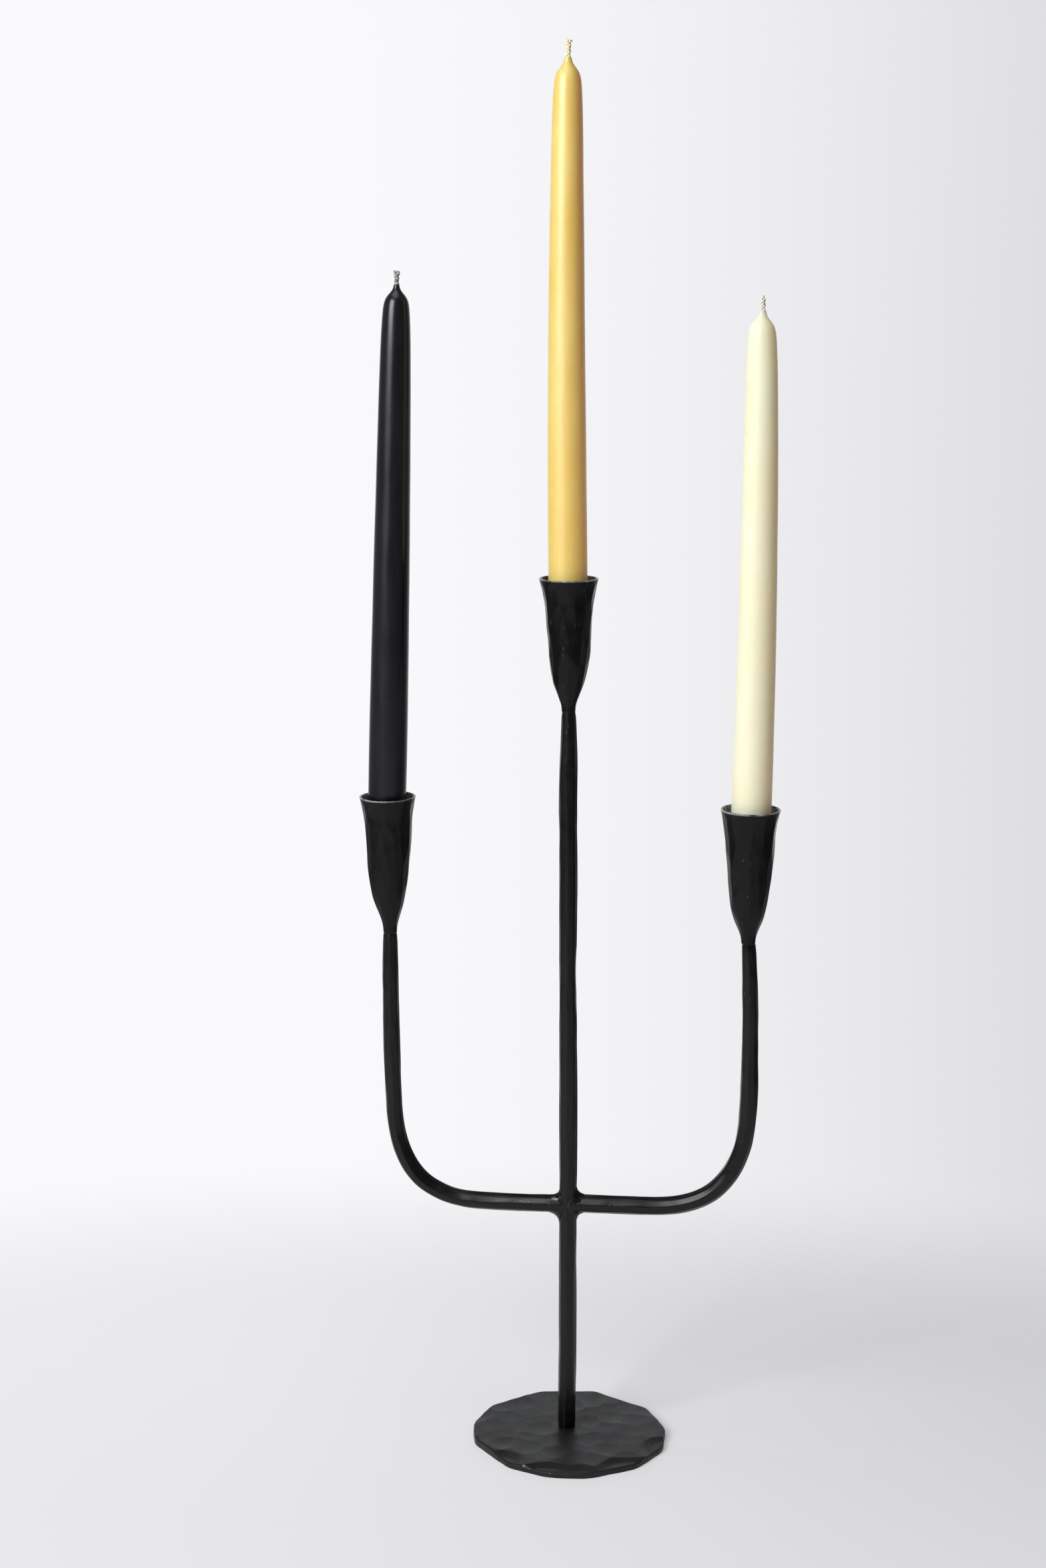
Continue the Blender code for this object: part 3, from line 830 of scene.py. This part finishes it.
def line_of(stations, side):
    """Fine points of an arm's centre line in the frame, with the distance run at each."""
    table = np.array(stations) / 1000
    steps = np.hypot(*np.diff(table, axis=0).T)
    run = np.concatenate([[0], np.cumsum(steps)])
    fine = np.arange(0, run[-1], 0.0005)
    line = smooth_line(np.column_stack([run, table]), fine)
    steps = np.hypot(*np.diff(line, axis=0).T)
    run = np.concatenate([[0], np.cumsum(steps)])
    places = np.column_stack([side * line[:, 0] + STEM_X, np.full(len(line), STEM_Y), line[:, 1]])
    return run, places


def bend_bar(points, run, places):
    """Lays a straight bar, which stands along Z, on a line in the plane of the arms.

    The bar's -Y side stays towards -Y, and its +X side turns to the line's right-hand side."""
    along = np.clip(points[:, 2], 0, run[-1])
    centre, heading = (
        np.column_stack([np.interp(along, run, values[:, i]) for i in range(3)])
        for values in (places, np.gradient(places, run, axis=0))
    )
    heading /= np.linalg.norm(heading, axis=1)[:, None]
    right = np.column_stack([heading[:, 2], np.zeros(len(points)), -heading[:, 0]])
    beyond = (points[:, 2] - along)[:, None]
    bent = centre + right * points[:, :1] + heading * beyond
    bent[:, 1] += points[:, 1]
    return bent


# Rubbed marks and painted highlights on the arms and welds: the long smear on the left and the fine
# streak on the right are painted highlights
ARM_RUBS_AND_HIGHLIGHTS = (
    ((-28.0, 1.0, 144.9), (17.0, 3.2, 1.3), 0.62),
    ((-9.6, 2.0, 147.2), (3.2, 3.4, 1.1), 1.0),
    ((27.0, 0.6, 145.9), (15.0, 2.6, 0.45), 0.72),
    ((0.6, 1.5, 146.3), (0.5, 1.6, 1.1), 1.0),
    ((-107.0, 0.3, 300.5), (0.8, 1.5, 1.6), 0.9),
)
arm_bars = {}
arm_lines = {}
for side_name, (side, ridge, ridges, seed) in ARM_BARS.items():
    run, places = line_of(ARM_LINES[side_name], side)
    bar = {
        "length": run[-1],
        "thickness": arm_thickness(side_name, run[-1]),
        "ridges": ridges,
        "seed": seed,
        "ridge": ridge,
        "dents": (),
    }
    arm = forged_bar(side_name + "_arm_bar", bar)
    move_points(arm, bend_bar(points_of(arm), run, places))
    finish_iron(arm, side_name + "_arm", bar_iron, ARM_RUBS_AND_HIGHLIGHTS, sharp=50)
    arm_bars[side_name] = bar
    arm_lines[side_name] = (run, places)

# ------------------------------------------------------------
# Welds: each arm is gas welded to the stem all round and dressed to a smooth fillet that runs out
# into both bars, fuller below the left arm. The dressing left no step, so the skins flow together.

# Reach of the fillets above and below each arm
WELD_REACH = {"left": (0.0040, 0.0072), "right": (0.0052, 0.0050)}
WELD_AROUND = 112
WELD_RINGS = 36
WELD_LEAST = 0.0014
# Steps in which a weld settles on to the bars, and the distance over which their slope is felt
SETTLING = 9
FEELER = 0.00002


def outside_metal(points, side_name, side):
    """How far points lie outside the stem and arm, blended into one another where they meet."""
    up_from_foot = points[:, 2] - STEM_FOOT
    wander = smooth_line(STEM_WANDER, up_from_foot)[:, 0]
    stem_x = points[:, 0] - STEM_X - wander
    stem_y = points[:, 1] - STEM_Y
    from_axis = np.maximum(np.hypot(stem_x, stem_y), 1e-5)
    from_stem = from_axis - bar_radius(up_from_foot, np.arctan2(stem_y, stem_x), stem_bar)
    run, places = arm_lines[side_name]
    out = np.clip(np.abs(places[:, 0] - STEM_X), 0, 0.04)
    reach_out = np.clip((points[:, 0] - STEM_X) * side, out[0], 0.04)
    along = np.interp(reach_out, out, run)
    rise = points[:, 2] - np.interp(reach_out, out, places[:, 2])
    # A bar's own X side faces up on the left arm and down on the right arm
    own_x = -side * rise
    from_line = np.maximum(np.hypot(own_x, stem_y), 1e-5)
    from_arm = from_line - bar_radius(along, np.arctan2(stem_y, own_x), arm_bars[side_name])
    above, below = WELD_REACH[side_name]
    reach = below + (above - below) * smooth_step(-0.003, 0.003, rise)
    # Full fillet where the skins meet squarely, hardly any where they run side by side
    alike = stem_y**2 / (from_axis * from_line)
    reach = WELD_LEAST + reach * np.clip(1 - alike, 0, 1)
    overlap = np.maximum(reach - np.abs(from_stem - from_arm), 0)
    return np.minimum(from_stem, from_arm) - overlap**2 / (4 * reach)


for side_name, side in (("left", -1), ("right", 1)):
    above, below = WELD_REACH[side_name]
    weld = bar_blank(side_name + "_weld_fillet", 1.0, WELD_AROUND, WELD_RINGS)
    blank = points_of(weld)
    share = blank[:, 2]
    around, _ = polar(blank)
    tall = np.where(np.sin(around) > 0, above, below) * 1.15
    # Laid from a loop that wraps the stem, by the corner where the bars meet, to a ring round the arm
    loop_y = 0.975 * BAR_RADIUS * np.cos(around)
    loop_z = (BAR_RADIUS + tall * np.abs(np.sin(around))) * np.sin(around)
    loop_x = np.sqrt(np.maximum(BAR_RADIUS**2 - loop_y**2, 0))
    end_x = BAR_RADIUS + max(above, below) * 1.05
    corner_y = BAR_RADIUS * np.cos(around)
    corner_z = BAR_RADIUS * np.sin(around)
    first = np.column_stack([loop_x, loop_y, loop_z])
    corner = np.column_stack([loop_x + 0.0004, corner_y, corner_z])
    last = np.column_stack([np.full(len(blank), end_x), corner_y, corner_z])
    t = share[:, None]
    shape = first * (1 - t) ** 2 + corner * 2 * t * (1 - t) + last * t**2
    run, places = arm_lines[side_name]
    centre_z = np.interp(shape[:, 0], np.abs(places[:, 0] - STEM_X)[:80], places[:80, 2])
    shape[:, 0] = STEM_X + side * shape[:, 0]
    shape[:, 1] += STEM_Y
    shape[:, 2] += centre_z
    # Settled on to the blended skin in a few steps
    for _ in range(SETTLING):
        height = outside_metal(shape, side_name, side)
        slope = np.zeros_like(shape)
        for axis, nudge in enumerate(np.eye(3) * FEELER):
            ahead = outside_metal(shape + nudge, side_name, side)
            slope[:, axis] = (ahead - outside_metal(shape - nudge, side_name, side)) / (2 * FEELER)
        slope /= np.maximum(np.linalg.norm(slope, axis=1), 1e-6)[:, None]
        shape -= slope * (height * 0.9)[:, None]
    # A hair proud of the bars, and running out under their skins at both ends
    ease = smooth_step(0.0, 0.14, share) * (1 - smooth_step(0.84, 1.0, share))
    lump = 0.00005 * ripple(around * BAR_RADIUS + share * 0.01, 70 + side, 0.007)
    shape += slope * (-0.00009 + ease * (0.00012 + lump))[:, None]
    move_points(weld, shape)
    face_outwards(weld)
    finish_iron(weld, side_name + "_arm_weld", bar_iron, ARM_RUBS_AND_HIGHLIGHTS)

# ------------------------------------------------------------
# Cups: three tulips, each forged hollow over a mandrel and drawn to a neck, its wall beaten in tall
# narrow facets and its flared lip filed and worn. Each is brazed on the tenon of its bar.

CUP_WALL = 0.0012
RIM_TRIM = 0.00008
CUP_FLOOR = 0.0135
CUP_SIDES = 32
# Outer outlines from neck to lip: shares of the height, and the share of the rim's radius at each
CUP_LEVELS = (
    0, 0.03, 0.07, 0.12, 0.17, 0.23, 0.29, 0.37, 0.45, 0.55, 0.62, 0.7, 0.78, 0.84, 0.91, 0.96, 1,
)
CUP_GIRTHS = {
    "centre": (
        0.240, 0.250, 0.310, 0.402, 0.492, 0.574, 0.633, 0.690, 0.720, 0.746, 0.768, 0.794, 0.825,
        0.862, 0.916, 0.962, 1.000,
    ),
    "left": (
        0.246, 0.257, 0.305, 0.385, 0.468, 0.574, 0.642, 0.702, 0.750, 0.780, 0.800, 0.822, 0.838,
        0.866, 0.916, 0.957, 1.000,
    ),
    "right": (
        0.243, 0.259, 0.311, 0.414, 0.510, 0.588, 0.640, 0.688, 0.728, 0.768, 0.798, 0.826, 0.846,
        0.876, 0.922, 0.956, 1.000,
    ),
}
# Sideways drift of the cups' walls in millimetres: share of the height, distance
CUP_DRIFT = {
    "centre": ((0, -0.1), (0.15, -0.2), (0.29, 0), (0.48, 0.5), (0.62, 0.3), (0.85, 0.1), (1, 0)),
    "left": ((0, 0), (0.15, -0.1), (0.26, -0.45), (0.42, -0.4), (0.62, 0.2), (0.85, 0.2), (1, 0)),
    "right": ((0, -0.2), (0.12, -0.3), (0.29, -0.25), (0.48, 0), (0.7, 0), (0.9, -0.1), (1, 0)),
}
# Rows of facets: share of the height, how many round the cup, half length as a share of the height
CUP_ROWS = (
    (0.13, 9, 0.10), (0.27, 12, 0.14), (0.42, 14, 0.16), (0.57, 14, 0.16), (0.72, 13, 0.15),
    (0.87, 12, 0.11),
)
CUP_BLOWS = (0.0002684, 0.0006832)
CUP_FACING = 0.6


def axis_of(node):
    """Centres of the lowest and the highest ring of a turned CAD node."""
    places = np.array([v.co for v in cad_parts[node].data.vertices])
    low = places[places[:, 2] < places[:, 2].min() + 0.0006]
    high = places[places[:, 2] > places[:, 2].max() - 0.0006]
    return [Vector((ring.min(0) + ring.max(0)) / 2) for ring in (low, high)]


def stand_on(obj, foot, top):
    """Moves a piece that was made upright at the origin onto its own foot and lean."""
    lean = (Vector(top) - Vector(foot)).normalized()
    turn = Vector((0, 0, 1)).rotation_difference(lean).to_matrix().to_4x4()
    obj.data.transform(Matrix.Translation(foot) @ turn)
    obj.data.update()


def hammer_cup(points, outer, height, rim, seed):
    """Beats tall narrow facets into the outer wall of an upright cup."""
    rng = np.random.default_rng(seed)
    bearing, radius = polar(points)
    hammered = radius.copy()
    z = points[:, 2]
    for row_height, count, reach_share in CUP_ROWS:
        start = rng.uniform(0, 2 * pi)
        for i in range(count):
            middle = start + (i + rng.uniform(-0.28, 0.28)) * 2 * pi / count
            centre = (row_height + rng.uniform(-0.05, 0.05)) * height
            reach = reach_share * height * rng.uniform(0.75, 1.25)
            depth = rng.uniform(*CUP_BLOWS) * (0.55 + 0.45 * min(row_height / 0.4, 1))
            away = np.minimum(((z - centre) / reach) ** 2, BLOW_LIMIT)
            flat = radius - depth * (1 - away)
            hammered = planed(hammered, flat, np.cos(bearing - middle), CUP_FACING, CREASE)
    # The lip stays truer than the wall, and only waves a little
    calm = smooth_step(0.93, 0.985, z / height)
    hammered = hammered * (1 - calm) + radius * calm
    hammered = np.where(outer, hammered, radius)
    hammered += 0.00010 * ripple(bearing * rim, seed + 5, 0.052) * smooth_step(0.5, 1.0, z / height)
    lift = 0.00022 * ripple(bearing * rim, seed + 9, 0.105) * smooth_step(0.85, 1.0, z / height)
    set_polar(points, bearing, hammered)
    points[:, 2] += lift


# Scuffs on the walls: a streak down the centre cup, smears on the left one, a scratch on the right
CUP_RUBS = (
    ((-4.8, -9.0, 489.0), (1.0, 7.0, 12.0), 0.48),
    ((-4.4, -9.0, 469.0), (1.4, 7.0, 9.0), 0.62),
    ((-4.8, -7.0, 450.0), (1.1, 7.0, 8.0), 0.58),
    ((-109.4, -8.0, 361.5), (1.7, 6.0, 0.5), 0.85),
    ((-110.0, -8.0, 346.0), (0.8, 6.0, 1.6), 0.66),
    ((-109.0, -6.0, 331.0), (1.0, 6.0, 5.0), 0.50),
    ((108.4, -6.0, 374.0), (2.4, 6.0, 0.35), 0.85),
)
cup_iron = blackened_iron(
    "blackened iron, cups", (0.0028, 0.0028, 0.0032), (0.0056, 0.0052, 0.0046), 0.29, 0.20,
    (1.0, 1.0, 0.12),
)

for light_name, seed in (("centre", 5), ("left", 8), ("right", 14)):
    foot, rim_place = axis_of(light_name + "_cup")
    cup_low, cup_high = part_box(light_name + "_cup")
    foot.z = cup_low.z
    rim_place.z = cup_high.z
    height = (rim_place - foot).length
    rim = (cup_high.y - cup_low.y) / 2 - RIM_TRIM
    outline = tuple(zip(CUP_LEVELS, CUP_GIRTHS[light_name]))
    neck = outline[0][1] * rim
    rings = [
        (TENON_RADIUS + 0.0003, TENON_LENGTH + 0.0004), (TENON_RADIUS + 0.0003, 0.0006),
        # The cup's foot is run down into the end of the bar, so that no joint shows
        (TENON_RADIUS + 0.0004, -0.0018), (neck - 0.00035, -0.0019), (neck - 0.00012, -0.0014),
        (neck, -0.0007), (neck + 0.00003, 0.0001),
    ]
    rings += [(share * rim, up * height) for up, share in outline[1:-1]]
    inside = rim - CUP_WALL
    rings += [
        (rim, height - 0.0006), (rim + 0.00002, height - 0.00015),
        (rim - 0.00025, height + 0.00008), (inside + 0.0002, height),
        (inside - 0.00005, height - 0.0004), (inside - 0.0003, height - 0.0014),
    ]
    for up, share in reversed(outline[4:-1]):
        inner_height = max(up * height, CUP_FLOOR)
        if inner_height > CUP_FLOOR + 0.001:
            rings.append((share * rim - CUP_WALL, inner_height))
    floor_radius = rings[-1][0]
    rings += [(floor_radius * 0.93, CUP_FLOOR + 0.0006), (floor_radius * 0.75, CUP_FLOOR)]
    rings.append((0.0030, CUP_FLOOR))
    cup = turned(light_name + "_tulip_cup", rings, CUP_SIDES, 2)
    points = points_of(cup)
    levels, girths = np.array(outline).T
    walls = np.interp(points[:, 2], levels * height, girths * rim)
    outer = polar(points)[1] > walls - CUP_WALL * 0.5
    outer &= points[:, 2] > 0.0006
    hammer_cup(points, outer, height, rim, seed)
    up = points[:, 2] / height
    points[:, 0] += smooth_line(CUP_DRIFT[light_name], np.clip(up, 0, 1))[:, 0] / 1000
    # The inside is made lighter towards its top, and the lip lighter still: the filed lip is partly
    # wear and partly a painted highlight
    given_wear_and_highlight = np.where(outer, 0.0, 0.80 * smooth_step(0.80, 0.97, up))
    given_wear_and_highlight = np.maximum(given_wear_and_highlight, 0.85 * smooth_step(0.984, 0.994, up))
    move_points(cup, points)
    stand_on(cup, foot, rim_place)
    finish_iron(cup, light_name + "_cup", cup_iron, CUP_RUBS, given_wear_and_highlight=given_wear_and_highlight)

# ------------------------------------------------------------
# Candles: three hand-dipped tapers of about 22 mm, honey, black and ivory. Dipping left a rounded
# shoulder that is drawn up to a neck round the wick, a slow swell down the side and a slight bow.

# Outline below the wax neck: distance down from its top, share of the taper's full radius
TAPER_OUTLINE = (
    (0, 0.110), (0.0003, 0.145), (0.0013, 0.158), (0.0026, 0.190), (0.0039, 0.265), (0.0052, 0.375),
    (0.0066, 0.485), (0.0082, 0.572), (0.0102, 0.635), (0.0135, 0.682), (0.02, 0.726), (0.03, 0.760),
    (0.042, 0.786), (0.07, 0.832), (0.1, 0.872), (0.13, 0.906), (0.165, 0.940), (0.2, 0.968),
    (0.23, 0.988), (0.26, 1.0), (0.285, 1.0), (0.2905, 0.995), (0.297, 0.972), (0.301, 0.950),
    (0.3023, 0.900), (0.3025, 0.820),
)
# Each candle's slot, how much thicker its wax neck is, its bow towards +X half way up, and its seed
TAPERS = {
    "centre": ("honey_wax", 1.22, -0.0009, 3),
    "left": ("black_wax", 1.0, 0.0001, 6),
    "right": ("ivory_wax", 1.26, 0.0012, 9),
}
CANDLE_SIDES = 24


def dipped_wax(name, deep, pale, tinge, clearness, reach, shine, scuffing):
    """Dipped wax: soft and slightly clear, with slow clouds of colour, drawn streaks and small scuffs.

    clearness is how much light wanders inside it, and reach how far the red, green and blue get.
    shine is how strongly it mirrors, how rough it is, and how much of a coat of bloom lies on it."""
    mirror, gloss, coat = shine
    material, shader, shade = new_material(
        name, Metallic=0.0, IOR=1.44, Specular_IOR_Level=mirror, Coat_Weight=coat,
        Coat_Roughness=0.45, Subsurface_Weight=clearness, Subsurface_Radius=reach,
        Subsurface_Scale=1.0,
    )
    place = shade.place()
    clouds = shade.noise(shade.stretched(place, (1.0, 1.0, 0.35)), 70.0, 3.0, 0.5)
    drawn = shade.noise(shade.stretched(place, (1.0, 1.0, 0.06)), 420.0, 2.0, 0.5)
    specks = shade.noise(place, 1400.0, 2.0, 0.6)
    scuffs = shade.noise(shade.stretched(place, (1.0, 1.0, 2.6), (0.5, 0.3, 0.2)), 160.0, 4.0, 0.75)
    rubbed = scuffs.between(0.60, 0.72) * clouds.between(0.48, 0.62)
    colour = shade.mix(clouds.between(0.30, 0.70), (*deep, 1.0), (*pale, 1.0))
    colour = shade.mix(drawn.between(0.45, 0.75) * 0.30, colour, (*tinge, 1.0))
    scuffed = tuple(min(1.0, v * 1.6 + 0.04) for v in pale) + (1.0,)
    colour = shade.mix(rubbed * scuffing, colour, scuffed)
    roughness = (clouds - 0.5) * 0.16 + (drawn - 0.5) * 0.10 + rubbed * 0.12 + gloss
    soft = shade.bump(clouds + drawn * 0.25, 0.00030, 0.20)
    surface(shader, shade, colour, roughness, shade.bump(specks, 0.00002, 0.35, under=soft))
    return material


WAXES = {
    "centre": dipped_wax(
        "honey wax", (0.82, 0.60, 0.145), (0.85, 0.65, 0.195), (0.77, 0.53, 0.100),
        0.90, (0.0190, 0.0052, 0.0012), (1.0, 0.44, 1.0), 0.05,
    ),
    "left": dipped_wax(
        "black wax", (0.0024, 0.0024, 0.0044), (0.0048, 0.0048, 0.0076), (0.009, 0.009, 0.013),
        0.0, (0.001, 0.001, 0.001), (0.70, 0.28, 0.0), 0.16,
    ),
    "right": dipped_wax(
        "ivory wax", (0.925, 0.815, 0.60), (0.94, 0.845, 0.66), (0.90, 0.76, 0.50),
        0.90, (0.0240, 0.0135, 0.0058), (0.60, 0.46, 0.0), 0.05,
    ),
}
candle_tops = {}

for light_name, (slot, neck_girth, bow, seed) in TAPERS.items():
    butt, neck_top = axis_of(light_name + "_candle")
    low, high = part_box(light_name + "_candle")
    full_radius = (high.y - low.y) / 2
    length = (neck_top - butt).length
    rings = []
    for down, share in reversed(TAPER_OUTLINE):
        near_neck = 1 - float(smooth_step(0.001, 0.006, down))
        share *= 1 + (neck_girth - 1) * near_neck
        rings.append((share * full_radius, max(length - down, 0.0)))
    candle = turned(light_name + "_dipped_taper", rings, CANDLE_SIDES, 2)
    points = points_of(candle)
    up = points[:, 2] / length
    bearing, _ = polar(points)
    # A slow swell along it, a little out of round low down, and a thicker side at the shoulder
    swell = 1 + 0.006 * ripple(points[:, 2], seed, 0.09)
    swell += 0.004 * np.cos(2 * bearing + seed) * (1 - up)
    shoulder = smooth_step(0.955, 0.975, up) * (1 - smooth_step(0.985, 1, up))
    swell += 0.010 * np.cos(bearing - seed) * shoulder
    points[:, :2] *= swell[:, None]
    points[:, 0] += bow * 4 * up * (1 - up)
    move_points(candle, points)
    stand_on(candle, butt, neck_top)
    candle_tops[light_name] = (butt, neck_top)
    node = light_name + "_candle"
    finish_piece(candle, light_name + "_light", [node], WAXES[light_name])

# ------------------------------------------------------------
# Wicks: flat-braided cotton, soaked in the candle's wax and never lit. Each runs the length of its
# candle as a plain core, and stands free above the wax as a braid with a cut, slightly opened end.

STRANDS = 6
STRAND_RADIUS = 0.00052
BRAID_RADIUS = 0.00086
BRAID_PITCH = 0.0056
BRAID_STEP = 0.00012
CORE_RADIUS = 0.00070
# How far the braid runs on inside the wax
BRAID_INSIDE = 0.010
# Free length, lean of the free end to the right, how far the cut end opens, and thickness
WICK_ENDS = {
    "centre": (0.0090, 0.0004, 0.50, 1.0),
    "left": (0.0071, 0.0000, 0.55, 1.0),
    "right": (0.0082, 0.0001, -0.62, 1.22),
}


def waxed_cotton(name, thread, soak, specks_colour):
    """Cotton yarn stiff with wax: fine fibres along the strands, and wax that fills some hollows."""
    material, shader, shade = new_material(name, Metallic=0.0, Sheen_Weight=0.25)
    place = shade.place()
    fibres = shade.noise(shade.stretched(place, (1.0, 1.0, 0.3)), 9000.0, 2.0, 0.6)
    soaked = shade.noise(place, 900.0, 3.0, 0.6)
    dark = shade.noise(place, 1700.0, 2.0, 0.6)
    colour = shade.mix(soaked.between(0.42, 0.62), (*thread, 1.0), (*soak, 1.0))
    colour = shade.mix(dark.between(0.60, 0.68) * 0.7, colour, (*specks_colour, 1.0))
    surface(shader, shade, colour, soaked * -0.35 + 0.85, shade.bump(fibres, 0.00005, 0.6))
    return material


# Colours of the bare thread, of thread soaked in wax, and of dark specks
COTTONS = {
    "centre": ("honey", (0.90, 0.82, 0.60), (0.86, 0.71, 0.40), (0.60, 0.47, 0.27)),
    "left": ("black", (0.50, 0.49, 0.49), (0.10, 0.10, 0.11), (0.03, 0.03, 0.03)),
    "right": ("ivory", (0.84, 0.81, 0.72), (0.78, 0.73, 0.58), (0.20, 0.18, 0.15)),
}


def add_cord(name, places, girths, roundness):
    """A cord through places, with a radius at each."""
    curve = bpy.data.curves.new(name, "CURVE")
    curve.dimensions = "3D"
    curve.bevel_depth = 1.0
    curve.bevel_resolution = roundness
    curve.use_fill_caps = True
    spline = curve.splines.new("POLY")
    spline.points.add(len(places) - 1)
    for spot, place, girth in zip(spline.points, places, girths):
        spot.co = (*place, 1.0)
        spot.radius = girth
    obj = bpy.data.objects.new(name, curve)
    bpy.context.scene.collection.objects.link(obj)
    return obj


for light_name in ("centre", "left", "right"):
    butt, neck_top = candle_tops[light_name]
    length = (neck_top - butt).length
    free, lean, opening, girth = WICK_ENDS[light_name]
    heights = np.arange(-BRAID_INSIDE, free + BRAID_STEP / 2, BRAID_STEP)
    pieces = []
    for strand in range(STRANDS):
        way = 1 if strand % 2 else -1
        phase = strand * 2 * pi / STRANDS
        end = heights[-1] - 0.00035 * ((strand * 5) % 4) / 3
        own = heights[heights <= end]
        turn = phase + way * 2 * pi * own / BRAID_PITCH
        weave = 1 + 0.22 * np.cos(3 * (turn - phase) + strand)
        open_up = 1 + opening * smooth_step(0.45, 1.0, own / free) ** 2
        ring = BRAID_RADIUS * girth * weave * open_up
        bent = lean * np.clip(own / free, 0, 1) ** 2
        places = np.column_stack([ring * np.cos(turn) + bent, ring * np.sin(turn) * 0.8, own + length])
        # Where the end is drawn together, its strands are thinner
        girths = STRAND_RADIUS * (1 + min(opening, 0) * 0.6 * np.maximum(own, 0) / free)
        pieces.append(add_cord("wick_strand", places, girths, 1))
    core = [(0, 0, z) for z in (0.001, 0.15, length - 0.006, length)]
    core.append((lean * 0.2, 0, length + free * 0.45))
    pieces.append(add_cord("wick_core", core, [CORE_RADIUS] * len(core), 2))
    pick(*pieces)
    bpy.ops.object.convert(target="MESH")
    bpy.ops.object.join()
    wick = named(light_name + "_braided_wick")
    face_outwards(wick, merge=0.000001)
    stand_on(wick, butt, neck_top)
    wax, *colours = COTTONS[light_name]
    cotton = waxed_cotton("cotton in " + wax + " wax", *colours)
    node = light_name + "_wick"
    finish_piece(wick, light_name + "_light", [node], cotton, sharp=60)
